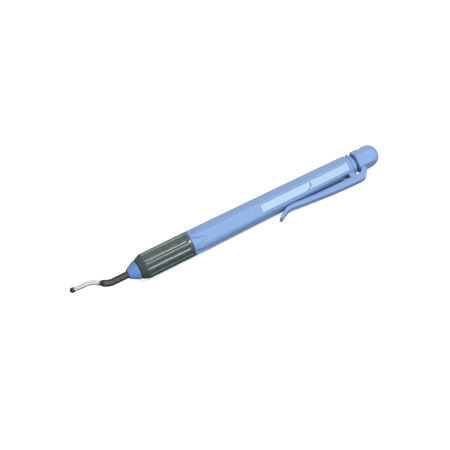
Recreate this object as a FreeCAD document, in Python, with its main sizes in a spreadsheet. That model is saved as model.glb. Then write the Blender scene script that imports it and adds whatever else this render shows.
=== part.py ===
"""Pen-shaped deburring tool with a swivel blade, a quick-release button and a pocket clip.

Frame: X runs along the tool from the blade (-X) to the end cap (+X), Z points up, and the tool lies on
one flat of its six-sided barrel.  The origin is on that flat, half-way along the barrel, under the tool's
axis.  Inside each sub-part, X is the distance behind the nose's front face and the axis is the X axis;
the sub-part's Placement then carries it into the tool's frame.  All lengths are in millimetres.
"""

import FreeCAD, Part

import math
import os

import Sketcher

FULL_TURN = 360
FACETS = 6
FACET_STEP = FULL_TURN // FACETS
LABEL_TURN = FACET_STEP          # the label's facet, counted about X from the top facet
CLIP_TURN = 2 * FACET_STEP       # the facet that the clip lies over
BACK_TURN = -FACET_STEP          # the facet behind the top one, where the thumb hollow is
BLADE_TURN = -39                 # how far the blade has swivelled from the top, at rest
FLUTE_TURN = 11.5                # where the grip's first flute is
BEND_ANGLE = 29.5                # how far the blade's first bend turns
TIP_ANGLE = 2.2                  # what is left of it after the second bend
ROUGHLY_EVERYTHING = 30          # a length that reaches past the tool's section on every side
DOME_STEPS = 5                   # straight pieces of the cap's rounded end

# Side view of the pocket clip: how far behind the cap's front, and how far above the barrel's tapered flat.
CLIP_ROOT_BACK = [(3.0, 0.43), (2.5, 1.38), (1.5, 3.56), (0.3, 4.75), (-0.7, 5.28), (-1.9, 5.47)]
CLIP_OUTSIDE = [(-8.2, 5.08), (-17.3, 4.46), (-25.5, 3.59), (-33.9, 2.58), (-37.0, 2.24), (-38.8, 2.46)]
CLIP_TIP = [(-40.2, 3.04), (-42.0, 4.22), (-43.5, 4.95), (-44.1, 4.74), (-44.3, 3.84), (-42.6, 2.86)]
CLIP_INSIDE = [(-40.9, 1.58), (-38.9, 0.76), (-36.8, 0.29), (-34.2, 0.42), (-25.5, 1.24), (-17.3, 1.76)]
CLIP_OVER_FOOT = 2.1             # where the foot leaves the clip, above the barrel's flat
CLIP_ROOT_FRONT = [(-1.3, 2.13), (-0.6, 1.63), (0.4, 0.45)]
CLIP_ROOT_LENGTH = (0.65, 3.0)   # where the root enters the cap's flat, front and back
CLIP_ROOT_DEPTH = 1              # how far the root reaches into the cap

# Driving dimensions: alias, value, what it is.
SIZES = [
    ("shank_radius", 1.6, "blade shank"),
    ("shank_inside", 18.4, "length of shank held in the tool"),
    ("shank_straight", 6.9, "straight shank in front of the nose"),
    ("blade_bend_radius", 7.7, "centreline radius of both bends"),
    ("blade_rise", 7.65, "from the start of the first bend to the start of the second"),
    ("blade_flat_length", 12.0, "ground flat, up to the ball"),
    ("blade_shank_land", 1.2, "full shank in front of the first bend"),
    ("blade_ball_land", 0.9, "from the ball's centre to the end of the flat"),
    ("blade_reach", 24.35, "nose face to the centre of the blade's ball"),
    ("blade_radius", 1.15, "section of the cutting part"),
    ("blade_ball_radius", 1.27, "ball at the blade's tip"),
    ("blade_flat_depth", 0.35, "from the cutting part's centreline to its ground flat"),
    ("groove_place", 14.8, "nose face to the blade's retaining groove"),
    ("retaining_ball_radius", 0.5, "ball that holds the blade"),
    ("groove_depth", 0.3, "how far a ball dips into the shank"),
    ("nose_length", 4.4, "nose cone in front of its spigot"),
    ("nose_tip_radius", 2.2, "front of the nose cone"),
    ("nose_base_radius", 4.5, "back of the nose cone"),
    ("nose_round", 0.35, "rounding behind the nose cone's base"),
    ("nose_lip_length", 1.2, "wall in front of the blade bush"),
    ("spigot_length", 5.6, "spigot behind the nose cone"),
    ("tube_clearance", 0.1, "from the lock sleeve to the core tube's bore"),
    ("tube_wall", 0.65, "wall of the core tube"),
    ("tube_in_barrel", 11.3, "length of core tube held in the barrel"),
    ("ring_thickness", 0.45, "washer between the nose and the grip"),
    ("grip_length", 25.3, "rubber grip"),
    ("grip_radius", 5.75, "rubber grip outside"),
    ("grip_front_radius", 4.42, "rubber grip at its front face"),
    ("grip_taper_length", 2.9, "tapered front of the grip"),
    ("flute_radius", 1.6, "cutter that makes one flute"),
    ("flute_depth", 0.4, "depth of a flute"),
    ("flute_count", 12, "flutes round the grip"),
    ("flute_front_land", 3.7, "grip face to the centre of a flute's round end"),
    ("flute_back_land", 1.65, "plain band behind the flutes"),
    ("barrel_length", 81.3, "barrel without the grip"),
    ("barrel_front_flats", 10.95, "across the flats at the barrel's front"),
    ("barrel_back_flats", 8.72, "across the flats at the barrel's back"),
    ("collar_radius", 5.78, "round collar at the barrel's front"),
    ("collar_bevel", 0.35, "bevel in front of the collar"),
    ("collar_length", 0.85, "round collar at the barrel's front"),
    ("scoop_length", 6.75, "scoop at the front of each flat"),
    ("scoop_width", 5.6, "scoop where it starts behind the collar"),
    ("scoop_depth", 1.0, "scoop where it starts behind the collar"),
    ("scoop_floor_share", 0.2, "flat floor of the scoop, as a share of its width"),
    ("scoop_tip_share", 0.08, "scoop's tip, as a share of its start"),
    ("corner_back_radius", 5.08, "rounding circle of the corners at the barrel's back"),
    ("barrel_end_bevel", 0.7, "bevel at the barrel's back"),
    ("rod_bore_radius", 2.3, "barrel bore round the push rod"),
    ("spring_bore_radius", 2.95, "barrel bore round the return spring"),
    ("spring_shoulder", 45.0, "barrel's front to the shoulder that the spring pushes on"),
    ("label_place", 34.3, "barrel's front to the label panel"),
    ("label_length", 45.8, "label panel"),
    ("label_width", 4.0, "label panel"),
    ("label_depth", 0.4, "recess of the label panel"),
    ("label_thickness", 0.3, "label panel"),
    ("key_slot_length", 5.5, "slot that the cap's foot slides in"),
    ("key_slot_depth", 0.5, "slot that the cap's foot slides in"),
    ("bush_wall", 0.67, "wall of the blade bush"),
    ("bush_flange_thickness", 0.8, "flange of the blade bush"),
    ("bush_end_thickness", 0.8, "closed end of the blade bush"),
    ("pad_thickness", 0.55, "hard pad behind the shank"),
    ("circlip_thickness", 0.5, "ring behind the bush's flange"),
    ("sleeve_wall", 0.32, "wall of the lock sleeve where its ramp ends"),
    ("sleeve_front_lap", 0.7, "lock sleeve in front of the balls' centres"),
    ("sleeve_plate_thickness", 1.2, "closed back of the lock sleeve"),
    ("release_slope", 0.25, "slope of the lock sleeve's ramp"),
    ("press_travel", 1.5, "travel of the cap"),
    ("stop_gap", 0.1, "what is left when the cap is pressed in"),
    ("rod_radius", 1.2, "push rod"),
    ("rod_thread_radius", 0.9, "threaded front of the push rod"),
    ("rod_in_stem", 4.5, "length of push rod held in the stem"),
    ("nut_flats", 3.6, "across the flats of the rod's nut"),
    ("nut_thickness", 1.2, "the rod's nut"),
    ("guide_place", 27.2, "barrel's front to the rod guide"),
    ("guide_thickness", 2.0, "rod guide"),
    ("seat_thickness", 1.2, "washer under the return spring"),
    ("spring_length", 17.0, "return spring at rest"),
    ("spring_radius", 1.95, "return spring, to the middle of the wire"),
    ("spring_wire_radius", 0.28, "return spring wire"),
    ("spring_turns", 9, "return spring"),
    ("rod_collar_thickness", 1.5, "collar that the spring pushes"),
    ("rod_collar_radius", 2.6, "collar that the spring pushes"),
    ("bush_flange_length", 1.55, "flared end of the rear bush behind the barrel"),
    ("bush_flare_radius", 4.0, "front of the rear bush's flared end"),
    ("stem_radius", 2.3, "stem between the barrel and the cap"),
    ("stem_in_cap", 6.9, "length of stem held in the cap"),
    ("cap_length", 11.25, "end cap"),
    ("cap_flats", 8.95, "across the flats of the end cap"),
    ("cap_dome_length", 5.4, "rounded end of the cap"),
    ("cap_dome_end_radius", 1.9, "flat in the middle of the rounded end"),
    ("cap_bevel", 0.45, "bevel in front of the cap"),
    ("hollow_radius", 2.2, "cutter that makes the cap's thumb hollow"),
    ("hollow_depth", 0.55, "depth of the cap's thumb hollow"),
    ("hollow_place", 4.25, "cap's front to its thumb hollow"),
    ("pin_radius", 0.6, "cross pin that goes into the cap from behind"),
    ("pin_place", 2.9, "cap's front to the cross pin"),
    ("pin_beyond_stem", 0.9, "length of the pin past the stem"),
    ("pin_recess", 0.2, "depth of the pin's end below the cap's flat"),
    ("clip_width", 3.2, "pocket clip"),
    ("foot_length", 2.9, "foot that slides on the barrel"),
    ("running_gap", 0.03, "radial clearance of a running fit"),
    ("sliding_gap", 0.05, "radial clearance of a loose sliding fit"),
    ("fitted_gap", 0.02, "radial clearance where pieces are fixed together"),
    ("end_gap", 0.05, "clearance between faces"),
]


class Size:
    """A number together with the sheet expression that gives it."""

    def __init__(self, number, text):
        self.number = number
        self.text = text

    def _with(self, other, number, sign, swapped=False):
        left, right = (text_of(other), self.text) if swapped else (self.text, text_of(other))
        return Size(number, f"({left} {sign} {right})")

    def __add__(self, other):
        return self._with(other, self.number + number_of(other), "+")

    def __radd__(self, other):
        return self._with(other, number_of(other) + self.number, "+", swapped=True)

    def __sub__(self, other):
        return self._with(other, self.number - number_of(other), "-")

    def __rsub__(self, other):
        return self._with(other, number_of(other) - self.number, "-", swapped=True)

    def __mul__(self, other):
        return self._with(other, self.number * number_of(other), "*")

    def __rmul__(self, other):
        return self._with(other, number_of(other) * self.number, "*", swapped=True)

    def __truediv__(self, other):
        return self._with(other, self.number / number_of(other), "/")

    def __neg__(self):
        return Size(-self.number, f"(-1 * {self.text})")


def number_of(value):
    """The plain number of a Size or of a number."""
    return value.number if isinstance(value, Size) else float(value)


def text_of(value):
    """The expression of a Size or of a number."""
    return value.text if isinstance(value, Size) else repr(round(float(value), 9))


doc = FreeCAD.newDocument("DeburringTool")


def fill_sheet():
    """Write the driving dimensions into the sheet and return them by name."""
    sheet = doc.addObject("Spreadsheet::Sheet", "Sizes")
    found = {}
    for row, (alias, value, note) in enumerate(SIZES, start=1):
        sheet.set(f"A{row}", note)
        sheet.set(f"B{row}", repr(value))
        sheet.setAlias(f"B{row}", alias)
        found[alias] = Size(float(value), f"Sizes.{alias}")
    doc.recompute()
    return found


class Named:
    """The sheet's sizes as attributes."""

    def __init__(self, found):
        self.__dict__.update(found)


d = Named(fill_sheet())

# Places along the tool, behind the nose's front face.
ring_front = d.nose_length + d.end_gap
grip_front = ring_front + d.ring_thickness + d.end_gap
grip_back = grip_front + d.grip_length
barrel_front = grip_back + d.end_gap
barrel_back = barrel_front + d.barrel_length
tube_back = barrel_front + d.tube_in_barrel
spigot_back = d.nose_length + d.spigot_length
circlip_front = spigot_back + d.bush_flange_thickness + d.end_gap
pad_front = d.shank_inside + d.end_gap
bush_bore_end = pad_front + d.pad_thickness
bush_back = bush_bore_end + d.bush_end_thickness
sleeve_front = d.groove_place - d.sleeve_front_lap
nut_front = bush_back + d.press_travel + d.stop_gap
plate_front = nut_front + d.nut_thickness + d.end_gap
sleeve_back = plate_front + d.sleeve_plate_thickness
label_start = barrel_front + d.label_place
guide_front = barrel_front + d.guide_place
shoulder = barrel_front + d.spring_shoulder
seat_front = shoulder + d.end_gap
spring_front = seat_front + d.seat_thickness + d.end_gap
rod_collar_front = spring_front + d.spring_length + d.end_gap
rear_bush_front = rod_collar_front + d.rod_collar_thickness + d.end_gap
rear_bush_back = barrel_back + d.bush_flange_length
cap_front = rear_bush_back + d.press_travel + d.stop_gap
cap_back = cap_front + d.cap_length
stem_front = rear_bush_front + d.press_travel + d.end_gap
stem_back = cap_front + d.stem_in_cap
rod_back = stem_front + d.rod_in_stem

# Sizes that several sub-parts share.
bush_bore_radius = d.shank_radius + d.running_gap
bush_radius = bush_bore_radius + d.bush_wall
ball_centre_radius = d.shank_radius - d.groove_depth + d.retaining_ball_radius
sleeve_bore_radius = bush_radius + d.running_gap
release_length = d.press_travel + d.retaining_ball_radius
release_radius = sleeve_bore_radius + d.release_slope * release_length
sleeve_radius = release_radius + d.sleeve_wall
tube_bore_radius = sleeve_radius + d.tube_clearance
tube_radius = tube_bore_radius + d.tube_wall
bush_flange_radius = tube_bore_radius - d.sliding_gap
flat_slope = (d.barrel_front_flats - d.barrel_back_flats) / (2 * d.barrel_length)

# The tool's frame: half-way along the barrel, on the flat under the axis.
origin_place = barrel_front + d.barrel_length / 2
axis_height = (d.barrel_front_flats + d.barrel_back_flats) / 4


def flat_height(place):
    """Distance from the axis to the barrel's flats, at a place along the tool."""
    return d.barrel_front_flats / 2 - flat_slope * (place - barrel_front)


def bind(target, name, value):
    """Give a property its number, and its expression when it has one."""
    if isinstance(value, Size):
        target.setExpression(name, value.text)
    else:
        setattr(target, name, value)


def set_down(part, label, turn=0.0):
    """Name a sub-part and carry it from its own frame into the tool's frame."""
    part.Label = label
    part.Placement = FreeCAD.Placement(
        FreeCAD.Vector(-origin_place.number, 0, axis_height.number),
        FreeCAD.Rotation(FreeCAD.Vector(1, 0, 0), turn),
    )
    part.setExpression("Placement.Base.x", (-origin_place).text)
    part.setExpression("Placement.Base.z", axis_height.text)
    sub_parts.append(part)
    return part


sub_parts = []


def new_body(name):
    """An empty body."""
    return doc.addObject("PartDesign::Body", "Body_" + name)


def origin_feature(body, role):
    """One of a body's own origin planes or axes."""
    return next(f for f in body.Origin.OriginFeatures if f.Role == role)


def new_sketch(body, name, role="XZ_Plane", offset=None):
    """A sketch on one of the body's planes; on XZ it sees X across and Z up, on YZ it sees Y and Z."""
    sketch = body.newObject("Sketcher::SketchObject", name)
    sketch.AttachmentSupport = [(origin_feature(body, role), "")]
    sketch.MapMode = "FlatFace"
    if offset is not None:
        sketch.AttachmentOffset = FreeCAD.Placement(
            FreeCAD.Vector(0, 0, number_of(offset)), FreeCAD.Rotation())
        sketch.setExpression("AttachmentOffset.Base.z", text_of(offset))
    return sketch


def fix_point(sketch, edge, end, across, up, name):
    """Tie a point of the sketch to its two distances from the origin."""
    for kind, value, letter in (("DistanceX", across, "x"), ("DistanceY", up, "y")):
        index = sketch.addConstraint(
            Sketcher.Constraint(kind, -1, 1, edge, end, number_of(value)))
        sketch.renameConstraint(index, f"{name}{letter}")
        if isinstance(value, Size):
            sketch.setExpression(f"Constraints.{name}{letter}", value.text)


def draw_outline(sketch, points):
    """Draw a closed outline of straight lines through points given as (across, up)."""
    corners = [FreeCAD.Vector(number_of(a), number_of(b), 0) for a, b in points]
    count = len(corners)
    for i in range(count):
        sketch.addGeometry(Part.LineSegment(corners[i], corners[(i + 1) % count]), False)
    for i in range(count):
        sketch.addConstraint(Sketcher.Constraint("Coincident", i, 2, (i + 1) % count, 1))
    for i, (across, up) in enumerate(points):
        fix_point(sketch, i, 1, across, up, f"p{i}")


def draw_circle(sketch, across, up, radius):
    """Draw one circle."""
    centre = FreeCAD.Vector(number_of(across), number_of(up), 0)
    sketch.addGeometry(Part.Circle(centre, FreeCAD.Vector(0, 0, 1), number_of(radius)), False)
    fix_point(sketch, 0, 3, across, up, "centre")
    index = sketch.addConstraint(Sketcher.Constraint("Radius", 0, number_of(radius)))
    sketch.renameConstraint(index, "radius")
    if isinstance(radius, Size):
        sketch.setExpression("Constraints.radius", radius.text)


def hexagon(flats):
    """Corners of a hexagon with a flat on top, as (across, up)."""
    corner = flats / math.sqrt(3)
    turns = [math.radians(FACET_STEP * i) for i in range(FACETS)]
    return [(corner * math.cos(turn), corner * math.sin(turn)) for turn in turns]


def revolve(body, name, points, cut=False):
    """Turn an outline in the XZ plane about the X axis, adding to the body or cutting from it."""
    sketch = new_sketch(body, name + "_outline")
    draw_outline(sketch, points)
    feature = body.newObject("PartDesign::Groove" if cut else "PartDesign::Revolution", name)
    feature.Profile = sketch
    feature.ReferenceAxis = (sketch, ["H_Axis"])
    feature.Angle = FULL_TURN
    return feature


def ring_outline(front, back, inner, outer):
    """Outline of a plain ring or disc."""
    return [(front, inner), (back, inner), (back, outer), (front, outer)]


def turned(label, points, turn=0.0):
    """A sub-part that is one turned piece."""
    body = new_body(label)
    revolve(body, label + "_turned", points)
    return set_down(body, label, turn)


def repeat_round(body, feature, count):
    """Repeat a cut evenly round the body's X axis."""
    doc.recompute()
    around = body.newObject("PartDesign::PolarPattern", feature.Name + "s_around")
    around.Originals = [feature]
    around.Axis = (origin_feature(body, "X_Axis"), [""])
    around.Angle = FULL_TURN
    bind(around, "Occurrences", count)
    body.Tip = around
    doc.recompute()


def cut_box(body, name, turn, length, width, depth, place, height, tilt=0.0):
    """Cut a slot into a facet: it starts at a place along the tool, and its floor is at a height."""
    box = body.newObject("PartDesign::SubtractiveBox", name)
    bind(box, "Length", length)
    bind(box, "Width", width)
    bind(box, "Height", depth)
    angle = math.radians(turn)
    across_y, across_z = math.cos(angle), math.sin(angle)
    base = (place, height * -math.sin(angle) - width * across_y / 2,
            height * math.cos(angle) - width * across_z / 2)
    tilt_rotation = FreeCAD.Rotation(FreeCAD.Vector(0, 1, 0), tilt)
    turn_rotation = FreeCAD.Rotation(FreeCAD.Vector(1, 0, 0), turn)
    box.Placement = FreeCAD.Placement(
        FreeCAD.Vector(*(number_of(v) for v in base)), turn_rotation.multiply(tilt_rotation))
    for letter, value in zip("xyz", base):
        box.setExpression(f"Placement.Base.{letter}", text_of(value))
    return box


def nose_cone():
    """Tapered nose with the spigot that screws into the core tube."""
    bore = bush_radius + d.fitted_gap
    mouth = d.shank_radius + d.sliding_gap
    spigot = tube_bore_radius - d.fitted_gap
    front_bevel = 0.15
    return turned("nose_cone", [
        (0, mouth), (d.nose_lip_length, mouth), (d.nose_lip_length, bore), (spigot_back, bore),
        (spigot_back, spigot), (d.nose_length, spigot),
        (d.nose_length, d.nose_base_radius - d.nose_round),
        (d.nose_length - d.nose_round, d.nose_base_radius),
        (front_bevel, d.nose_tip_radius), (0, d.nose_tip_radius - front_bevel),
    ])


def grip_ring():
    """Thin dark washer between the nose cone and the grip."""
    return turned("grip_ring", ring_outline(
        ring_front, ring_front + d.ring_thickness, tube_bore_radius, tube_radius))


def core_tube():
    """Steel tube that carries the grip and ties the nose to the barrel."""
    return turned("core_tube", ring_outline(grip_front, tube_back, tube_bore_radius, tube_radius))


def grip_sleeve():
    """Rubber grip with a tapered front and flutes along it."""
    body = new_body("grip_sleeve")
    bore = tube_radius + d.fitted_gap
    edge = 0.3
    revolve(body, "grip_turned", [
        (grip_front, bore), (grip_back, bore), (grip_back, d.grip_radius - edge),
        (grip_back - edge, d.grip_radius), (grip_front + d.grip_taper_length, d.grip_radius),
        (grip_front, d.grip_front_radius),
    ])
    out = d.grip_radius - d.flute_depth + d.flute_radius
    start = grip_front + d.flute_front_land
    doc.recompute()
    section = new_sketch(body, "flute_section", "YZ_Plane", start)
    draw_circle(section, 0, out, d.flute_radius)
    flute = body.newObject("PartDesign::Pocket", "flute")
    flute.Profile = section
    flute.Reversed = True
    bind(flute, "Length", d.grip_length - d.flute_front_land - d.flute_back_land)
    repeat_round(body, flute, d.flute_count)
    end = body.newObject("PartDesign::SubtractiveSphere", "flute_end")
    bind(end, "Radius", d.flute_radius)
    end.Placement = FreeCAD.Placement(
        FreeCAD.Vector(start.number, 0, out.number), FreeCAD.Rotation())
    end.setExpression("Placement.Base.x", start.text)
    end.setExpression("Placement.Base.z", out.text)
    repeat_round(body, end, d.flute_count)
    return set_down(body, "grip_sleeve", FLUTE_TURN)


def scoop_section(place, share):
    """Section of the shallow scoop at the front of a flat, as (across, up), at a share of its full size."""
    flat = flat_height(place)
    half = d.scoop_width * share / 2
    floor = flat - d.scoop_depth * share
    low = half * d.scoop_floor_share
    return [(-half, flat + 1), (-half, flat), (-low, floor), (low, floor), (half, flat),
            (half, flat + 1)]


def barrel():
    """Six-sided tapered barrel with a round collar, a label recess and the slot of the cap's foot."""
    body = new_body("barrel")
    outside = d.barrel_front_flats
    core = d.rod_bore_radius
    revolve(body, "round_blank", [
        (barrel_front, core), (barrel_back, core), (barrel_back, d.corner_back_radius),
        (barrel_front, d.collar_radius),
    ])
    doc.recompute()
    side = new_sketch(body, "flat_side")
    draw_outline(side, [
        (barrel_front, flat_height(barrel_front)), (barrel_back, flat_height(barrel_back)),
        (barrel_back, outside), (barrel_front, outside),
    ])
    flat = body.newObject("PartDesign::Pocket", "flat")
    flat.Profile = side
    flat.Length = ROUGHLY_EVERYTHING
    flat.Midplane = True
    repeat_round(body, flat, FACETS)
    back_corner = d.barrel_back_flats / math.sqrt(3)
    revolve(body, "end_bevel", [
        (barrel_back - d.barrel_end_bevel, back_corner),
        (barrel_back - d.barrel_end_bevel, outside), (barrel_back + 1, outside),
        (barrel_back + 1, back_corner - d.barrel_end_bevel - 1),
    ], cut=True)
    doc.recompute()
    collar_back = barrel_front + d.collar_length
    revolve(body, "collar", [
        (barrel_front, core), (collar_back, core), (collar_back, d.collar_radius),
        (barrel_front + d.collar_bevel, d.collar_radius),
        (barrel_front, d.collar_radius - d.collar_bevel),
    ])
    doc.recompute()
    scoop_start = new_sketch(body, "scoop_start", "YZ_Plane", collar_back)
    draw_outline(scoop_start, scoop_section(collar_back, 1))
    scoop_tip = new_sketch(body, "scoop_tip", "YZ_Plane", collar_back + d.scoop_length)
    draw_outline(scoop_tip, scoop_section(collar_back + d.scoop_length, d.scoop_tip_share))
    scoop = body.newObject("PartDesign::SubtractiveLoft", "scoop")
    scoop.Profile = scoop_start
    scoop.Sections = [scoop_tip]
    scoop.Ruled = True
    repeat_round(body, scoop, FACETS)
    revolve(body, "bore", [
        (barrel_front - 1, 0), (barrel_back + 1, 0), (barrel_back + 1, d.spring_bore_radius),
        (shoulder, d.spring_bore_radius), (shoulder, d.rod_bore_radius),
        (tube_back + d.end_gap, d.rod_bore_radius),
        (tube_back + d.end_gap, tube_radius + d.fitted_gap),
        (barrel_front - 1, tube_radius + d.fitted_gap),
    ], cut=True)
    doc.recompute()
    tilt = math.degrees(math.atan(flat_slope.number))
    cut_box(body, "label_recess", LABEL_TURN, d.label_length, d.label_width, ROUGHLY_EVERYTHING,
            label_start, flat_height(label_start) - d.label_depth, tilt)
    doc.recompute()
    cut_box(body, "key_slot", CLIP_TURN, d.key_slot_length + 1, d.clip_width + 4 * d.sliding_gap,
            ROUGHLY_EVERYTHING, barrel_back - d.key_slot_length,
            flat_height(barrel_back) - d.key_slot_depth)
    return set_down(body, "barrel")


def label_panel():
    """Glossy strip laid into the barrel's recess."""
    gap = d.sliding_gap
    panel = doc.addObject("Part::Box", "label_strip")
    bind(panel, "Length", d.label_length - 2 * gap)
    bind(panel, "Width", d.label_width - 2 * gap)
    bind(panel, "Height", d.label_thickness)
    angle = math.radians(LABEL_TURN)
    tilt = math.degrees(math.atan(flat_slope.number))
    half_width = d.label_width / 2 - gap
    height = flat_height(label_start) - d.label_depth + d.fitted_gap
    base = (label_start + gap - origin_place,
            height * -math.sin(angle) - half_width * math.cos(angle),
            height * math.cos(angle) - half_width * math.sin(angle) + axis_height)
    panel.Placement = FreeCAD.Placement(
        FreeCAD.Vector(*(value.number for value in base)),
        FreeCAD.Rotation(FreeCAD.Vector(1, 0, 0), LABEL_TURN).multiply(
            FreeCAD.Rotation(FreeCAD.Vector(0, 1, 0), tilt)))
    for letter, value in zip("xyz", base):
        panel.setExpression(f"Placement.Base.{letter}", value.text)
    panel.Label = "label_panel"
    sub_parts.append(panel)
    return panel


def blade_bush():
    """Steel bush that the shank turns in, closed at the back, with a hole for each ball."""
    body = new_body("blade_bush")
    revolve(body, "bush_turned", [
        (d.nose_lip_length + d.end_gap, bush_bore_radius), (bush_bore_end, bush_bore_radius),
        (bush_bore_end, 0), (bush_back, 0), (bush_back, bush_radius),
        (spigot_back + d.bush_flange_thickness, bush_radius),
        (spigot_back + d.bush_flange_thickness, bush_flange_radius),
        (spigot_back + d.end_gap, bush_flange_radius), (spigot_back + d.end_gap, bush_radius),
        (d.nose_lip_length + d.end_gap, bush_radius),
    ])
    doc.recompute()
    hole = body.newObject("PartDesign::SubtractiveCylinder", "ball_hole")
    bind(hole, "Radius", d.retaining_ball_radius + d.running_gap)
    hole.Height = ROUGHLY_EVERYTHING
    hole.Placement = FreeCAD.Placement(
        FreeCAD.Vector(d.groove_place.number, 0, -ROUGHLY_EVERYTHING / 2), FreeCAD.Rotation())
    hole.setExpression("Placement.Base.x", d.groove_place.text)
    return set_down(body, "blade_bush")


def thrust_pad():
    """Hard disc that takes the blade's push."""
    return turned("thrust_pad", ring_outline(
        pad_front, bush_bore_end - d.end_gap / 2, 0, d.shank_radius))


def bush_circlip():
    """Ring that holds the blade bush's flange against the nose."""
    return turned("bush_circlip", ring_outline(
        circlip_front, circlip_front + d.circlip_thickness,
        bush_radius + 4 * d.sliding_gap, tube_bore_radius - d.fitted_gap))


def lock_sleeve():
    """Sleeve whose narrow bore holds the balls in and whose ramp lets them out."""
    body = new_body("lock_sleeve")
    ramp_front = d.groove_place
    ramp_back = ramp_front + release_length
    thread = d.rod_thread_radius + d.fitted_gap
    revolve(body, "sleeve_turned", [
        (sleeve_front, sleeve_bore_radius), (ramp_front, sleeve_bore_radius),
        (ramp_back, release_radius), (plate_front, release_radius), (plate_front, thread),
        (sleeve_back, thread), (sleeve_back, sleeve_radius), (sleeve_front, sleeve_radius),
    ])
    return set_down(body, "lock_sleeve")


def retaining_ball(label, side):
    """One of the two balls that sit in the blade's groove."""
    ball = doc.addObject("Part::Sphere", label)
    bind(ball, "Radius", d.retaining_ball_radius)
    place = d.groove_place - origin_place
    height = axis_height + side * ball_centre_radius
    ball.Placement = FreeCAD.Placement(FreeCAD.Vector(place.number, 0, height.number), FreeCAD.Rotation())
    ball.setExpression("Placement.Base.x", place.text)
    ball.setExpression("Placement.Base.z", height.text)
    ball.Label = label
    sub_parts.append(ball)
    return ball


def push_rod():
    """Rod that carries the cap's push to the lock sleeve."""
    return turned("push_rod", [
        (nut_front - d.end_gap, 0), (rod_back, 0), (rod_back, d.rod_radius),
        (sleeve_back + d.end_gap, d.rod_radius), (sleeve_back + d.end_gap, d.rod_thread_radius),
        (nut_front - d.end_gap, d.rod_thread_radius),
    ])


def rod_nut():
    """Six-sided nut that holds the push rod in the lock sleeve."""
    body = new_body("rod_nut")
    section = new_sketch(body, "nut_section", "YZ_Plane", nut_front)
    draw_outline(section, hexagon(d.nut_flats))
    nut = body.newObject("PartDesign::Pad", "nut_blank")
    nut.Profile = section
    bind(nut, "Length", d.nut_thickness)
    doc.recompute()
    revolve(body, "nut_bore", ring_outline(
        nut_front - 1, nut_front + d.nut_thickness + 1, 0, d.rod_thread_radius + d.fitted_gap), cut=True)
    return set_down(body, "rod_nut")


def rod_guide():
    """Disc that keeps the long push rod straight."""
    return turned("rod_guide", ring_outline(
        guide_front, guide_front + d.guide_thickness,
        d.rod_radius + d.sliding_gap, d.rod_bore_radius - d.fitted_gap))


def spring_seat():
    """Washer between the barrel's shoulder and the spring."""
    return turned("spring_seat", ring_outline(
        seat_front, seat_front + d.seat_thickness,
        d.rod_radius + d.sliding_gap, d.spring_bore_radius - d.fitted_gap))


def return_spring():
    """Coil spring that pushes the cap back out."""
    body = new_body("return_spring")
    section = new_sketch(body, "wire_section")
    draw_circle(section, spring_front + d.spring_wire_radius, d.spring_radius, d.spring_wire_radius)
    coil = body.newObject("PartDesign::AdditiveHelix", "coil")
    coil.Profile = section
    coil.ReferenceAxis = (section, ["H_Axis"])
    coil.Mode = "height-turns-angle"
    bind(coil, "Height", d.spring_length - 2 * d.spring_wire_radius)
    bind(coil, "Turns", d.spring_turns)
    return set_down(body, "return_spring")


def rod_collar():
    """Collar on the push rod that the spring pushes."""
    return turned("rod_collar", ring_outline(
        rod_collar_front, rod_collar_front + d.rod_collar_thickness,
        d.rod_radius + d.fitted_gap, d.rod_collar_radius))


def rear_bush():
    """Plug in the barrel's back end, with a flared six-sided end that the stem slides through."""
    body = new_body("rear_bush")
    section = new_sketch(body, "flared_section", "YZ_Plane", barrel_back + d.end_gap)
    draw_outline(section, hexagon(d.barrel_back_flats))
    end = body.newObject("PartDesign::Pad", "flared_end")
    end.Profile = section
    bind(end, "Length", d.bush_flange_length - d.end_gap)
    doc.recompute()
    corner = d.barrel_back_flats / math.sqrt(3)
    revolve(body, "flare", [
        (barrel_back - 1, d.bush_flare_radius), (barrel_back + d.end_gap, d.bush_flare_radius),
        (rear_bush_back - d.collar_bevel, corner), (rear_bush_back - d.collar_bevel, 2 * corner),
        (barrel_back - 1, 2 * corner),
    ], cut=True)
    doc.recompute()
    bore = d.stem_radius + d.sliding_gap
    revolve(body, "plug", ring_outline(
        rear_bush_front, barrel_back + d.end_gap * 2, bore, d.spring_bore_radius - d.fitted_gap))
    doc.recompute()
    revolve(body, "stem_bore", ring_outline(barrel_back - 1, rear_bush_back + 1, 0, bore), cut=True)
    return set_down(body, "rear_bush")


def cap_stem():
    """Stem fixed in the cap, which slides in the rear bush and holds the push rod."""
    body = new_body("cap_stem")
    rod = d.rod_radius + d.fitted_gap
    revolve(body, "stem_turned", [
        (stem_front, rod), (rod_back + d.end_gap, rod), (rod_back + d.end_gap, 0),
        (stem_back, 0), (stem_back, d.stem_radius), (stem_front, d.stem_radius),
    ])
    doc.recompute()
    hole = body.newObject("PartDesign::SubtractiveCylinder", "pin_hole")
    cross_hole(hole, ROUGHLY_EVERYTHING)
    return set_down(body, "cap_stem", CLIP_TURN)


def cross_hole(hole, beyond):
    """Set a cutter into the cap from the side opposite the clip, to a length past the stem."""
    place = cap_front + d.pin_place
    top = d.stem_radius + beyond
    bind(hole, "Radius", d.pin_radius + d.fitted_gap)
    bind(hole, "Height", top + ROUGHLY_EVERYTHING)
    hole.Placement = FreeCAD.Placement(
        FreeCAD.Vector(place.number, 0, -ROUGHLY_EVERYTHING), FreeCAD.Rotation())
    hole.setExpression("Placement.Base.x", place.text)


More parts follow.
